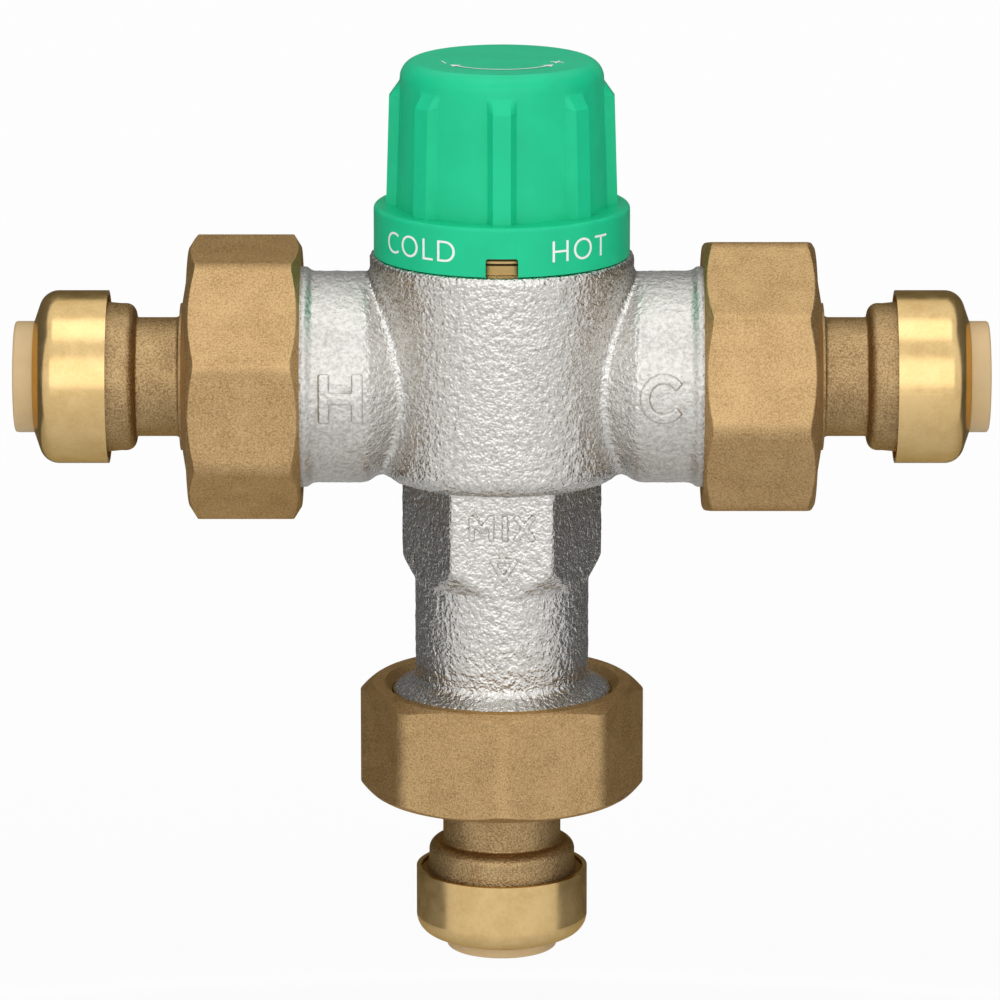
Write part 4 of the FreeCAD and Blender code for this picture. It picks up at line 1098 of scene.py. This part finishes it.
# ---------------------------------------------------------------- studio
@dataclass
class Studio:
    """Pale floor, soft light and the camera."""

    level: float
    elevation: float = math.radians(13.5)
    distance: float = 1.16
    lens: float = 255.0
    aim: Vector = field(default_factory=lambda: Vector((-0.3 * MM, 0, 0)))
    aim_below: float = 20.7 * MM
    lamp_aim_below: float = 20.0 * MM
    floor_drop: float = 0.16
    floor_half: float = 3.0
    floor_tone: float = 0.78
    shadow: float = 0.07
    card_r: float = 0.42
    card_low: float = 0.225
    card_high: float = 0.40
    card_open: float = math.radians(80)
    card_grey: float = 0.17
    lamps: tuple = (("front_soft", (0.0, -1.5, 0.55), (2.2, 1.1), 6),
                    ("top_soft", (0.0, -0.25, 1.3), (1.0, 0.7), 2.2))

    def camera(self) -> None:
        """Set the camera."""
        data = bpy.data.cameras.new("camera")
        data.lens = self.lens
        data.sensor_width = 36.0
        data.clip_end = 20
        camera = bpy.data.objects.new("camera", data)
        bpy.context.scene.collection.objects.link(camera)
        target = self.aim + Vector((0, 0, self.level - self.aim_below))
        offset = Vector((0, -math.cos(self.elevation), math.sin(self.elevation))) * self.distance
        camera.location = target + offset
        camera.rotation_euler = (-offset).to_track_quat("-Z", "Y").to_euler()
        bpy.context.scene.camera = camera

    def lamp(self, name: str, place: tuple[float, float, float],
             size: tuple[float, float], power: float) -> None:
        """Add one soft rectangular lamp that points at the valve.

        Args:
            name: The lamp's name.
            place: Where it stands.
            size: Its width and height in metres.
            power: Its power in watts.
        """
        data = bpy.data.lights.new(name, "AREA")
        data.shape = "RECTANGLE"
        data.size, data.size_y = size
        data.energy = power
        lamp = bpy.data.objects.new(name, data)
        bpy.context.scene.collection.objects.link(lamp)
        lamp.location = place
        aim = Vector((0, 0, self.level - self.lamp_aim_below))
        lamp.rotation_euler = (aim - Vector(place)).to_track_quat("-Z", "Y").to_euler()

    def world(self) -> None:
        """White to the eye and in gloss, and a plain even light on the rest."""
        world = bpy.data.worlds.new("studio")
        bpy.context.scene.world = world
        world.use_nodes = True
        tree = world.node_tree
        tree.nodes.clear()
        output = tree.nodes.new("ShaderNodeOutputWorld")
        shade = tree.nodes.new("ShaderNodeBackground")
        shade.inputs["Color"].default_value = (1, 1, 1, 1)
        white = tree.nodes.new("ShaderNodeBackground")
        white.inputs["Color"].default_value = (1, 1, 1, 1)
        mix = tree.nodes.new("ShaderNodeMixShader")
        tree.links.new(self.seen(tree), mix.inputs[0])
        tree.links.new(shade.outputs[0], mix.inputs[1])
        tree.links.new(white.outputs[0], mix.inputs[2])
        tree.links.new(mix.outputs[0], output.inputs[0])

    def seen(self, tree: bpy.types.NodeTree) -> bpy.types.NodeSocket:
        """Tell the rays that see the backdrop from those that only light.

        Args:
            tree: The node tree to add to.

        Returns:
            1 for rays from the camera, in gloss and through glass.
        """
        path = tree.nodes.new("ShaderNodeLightPath")
        last = path.outputs["Is Camera Ray"]
        for name in ("Is Glossy Ray", "Is Transmission Ray"):
            node = tree.nodes.new("ShaderNodeMath")
            node.operation = "MAXIMUM"
            tree.links.new(last, node.inputs[0])
            tree.links.new(path.outputs[name], node.inputs[1])
            last = node.outputs[0]
        return last

    def flags(self) -> None:
        """Stand grey cards beside and behind the valve, which draw the dark edges in its metal."""
        recipe = Recipe("card")
        recipe.set(Roughness=0.9)
        recipe.shader.inputs["Base Color"].default_value = (self.card_grey,) * 3 + (1,)
        form = bmesh.new()
        start = Vector((0, -self.card_r, self.level - self.card_low))
        ends = [bmesh.ops.create_vert(form, co=start + Vector((0, 0, up)))["vert"][0]
                for up in (0.0, self.card_low + self.card_high)]
        form.edges.new(ends)
        bmesh.ops.rotate(form, verts=form.verts, cent=(0, 0, 0),
                         matrix=Matrix.Rotation(self.card_open, 3, "Z"))
        bmesh.ops.spin(form, geom=form.verts[:] + form.edges[:], cent=(0, 0, 0), axis=(0, 0, 1),
                       angle=2 * (math.pi - self.card_open), steps=48, use_merge=False)
        card = new_piece("cards", form, recipe.material)
        card.visible_camera = False

    def floor(self) -> None:
        """A wide pale floor below the hanging valve."""
        form = bmesh.new()
        bmesh.ops.create_grid(form, x_segments=1, y_segments=1, size=self.floor_half)
        bmesh.ops.translate(form, verts=form.verts, vec=(0, 0, -self.floor_drop))
        recipe = Recipe("floor")
        recipe.set(Roughness=0.9)
        recipe.shader.inputs["Base Color"].default_value = (self.floor_tone,) * 3 + (1,)
        glow = recipe.tree.nodes.new("ShaderNodeEmission")
        mix = recipe.tree.nodes.new("ShaderNodeMixShader")
        path = recipe.tree.nodes.new("ShaderNodeLightPath")
        output = next(n for n in recipe.tree.nodes if n.type == "OUTPUT_MATERIAL")
        seen = recipe.math("MULTIPLY", path.outputs["Is Camera Ray"], 1 - self.shadow)
        recipe.tree.links.new(seen, mix.inputs[0])
        recipe.tree.links.new(recipe.shader.outputs[0], mix.inputs[1])
        recipe.tree.links.new(glow.outputs[0], mix.inputs[2])
        recipe.tree.links.new(mix.outputs[0], output.inputs[0])
        new_piece("floor", form, recipe.material, False)

    def build(self) -> None:
        """Set the whole studio."""
        self.camera()
        self.world()
        self.floor()
        self.flags()
        for name, place, size, power in self.lamps:
            self.lamp(name, place, size, power)
        bpy.context.scene.view_settings.view_transform = "Standard"


def make_finishes(foot: float) -> dict[str, bpy.types.Material]:
    """Build every finish of the valve.

    Args:
        foot: Height of the bonnet's foot.

    Returns:
        The materials by short name.
    """
    return {
        "cast": CastSkin().make(),
        "nut": Metal("tumbled brass", (0.42, 0.268, 0.122), (0.61, 0.422, 0.210), (0.44, 0.58),
                     0.27, 0.055, 5.0, 0.25, rim=(0.70, 0.52, 0.30)).make(),
        "tail": Metal("forged brass", (0.31, 0.20, 0.095), (0.52, 0.37, 0.185), (0.40, 0.52),
                      0.3, 0.09, 4.0, 0.25, rim=(0.70, 0.52, 0.30)).make(),
        "sleeve": Drawn().make(),
        "turned": Metal("turned brass", (0.40, 0.28, 0.11), (0.52, 0.37, 0.16), (0.2, 0.3),
                        0.12, 0.003, 3.0).make(),
        "bonnet": GroovedRingPaintedShade(foot).make(),
        "steel": Metal("stainless", (0.55, 0.55, 0.55), (0.68, 0.68, 0.68), (0.22, 0.32),
                       0.15, 0.002, 3.0).make(),
        "copper": Metal("copper", (0.60, 0.30, 0.18), (0.70, 0.38, 0.24), (0.25, 0.35),
                        0.2, 0.004, 3.0).make(),
        "collet": Moulded("tan plastic", (0.56, 0.40, 0.20), 0.42, 0.05, 0.004, 0.1).make(),
        "cap": Moulded("green plastic", (0.010, 0.53, 0.26), 0.34, 0.04, 0.004, 0.05,
                       0.20).make(),
        "inner": Moulded("black plastic", (0.035, 0.035, 0.038), 0.4).make(),
        "rubber": Moulded("rubber", (0.02, 0.02, 0.02), 0.6, 0.1, 0.01).make(),
        "fibre": Moulded("fibre", (0.20, 0.12, 0.07), 0.8, 0.15, 0.03).make(),
        "ink": Ink().make(),
    }


def plain_finishes() -> dict[str, str]:
    """Name the finish of every node whose shape stays.

    Returns:
        The finishes' short names by node.
    """
    dress = {"bonnet": "bonnet", "bonnet_seal": "rubber", "spindle": "turned",
             "spindle_seal": "rubber", "spindle_clip": "steel", "pusher": "turned",
             "overload_spring": "steel", "overload_cup": "turned", "push_rod": "steel",
             "wax_element": "copper", "piston": "inner", "piston_seal": "rubber",
             "return_spring": "steel"}
    for port in Port:
        dress.update({f"{port.prefix}_{part}": finish for part, finish in (
            ("sleeve", "sleeve"), ("collet", "collet"), ("grip_ring", "steel"),
            ("tube_seal", "rubber"), ("seal_spacer", "inner"), ("washer", "fibre"))})
    for port in (Port.HOT, Port.COLD):
        dress.update({f"{port.prefix}_{part}": finish for part, finish in (
            ("check_body", "inner"), ("check_poppet", "inner"), ("check_seal", "rubber"),
            ("strainer", "steel"))})
    return dress


def main() -> None:
    """Load the frame, dress the valve and set the studio."""
    logging.basicConfig(level=logging.INFO, format="%(name)s: %(message)s")
    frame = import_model()
    mount = {m["name"]: m for m in frame["record"]["mounts"]}["hot_inlet"]
    level = mount["pos_m"][2]
    finishes = make_finishes(level + BONNET_FOOT)
    CastBody(frame, level=level).build(finishes["cast"])
    LOG.info("casting dressed")
    for port in Port:
        UnionPort(frame, port).build(finishes)
    Cap(frame, level=level).build(finishes)
    for port in (Port.HOT, Port.COLD):
        ClosingCoil(frame, port).build(finishes["steel"])
    PlainDress(frame, plain_finishes()).build(finishes)
    LOG.info("inner pieces dressed")
    Studio(level).build()


if __name__ == "__main__":
    main()
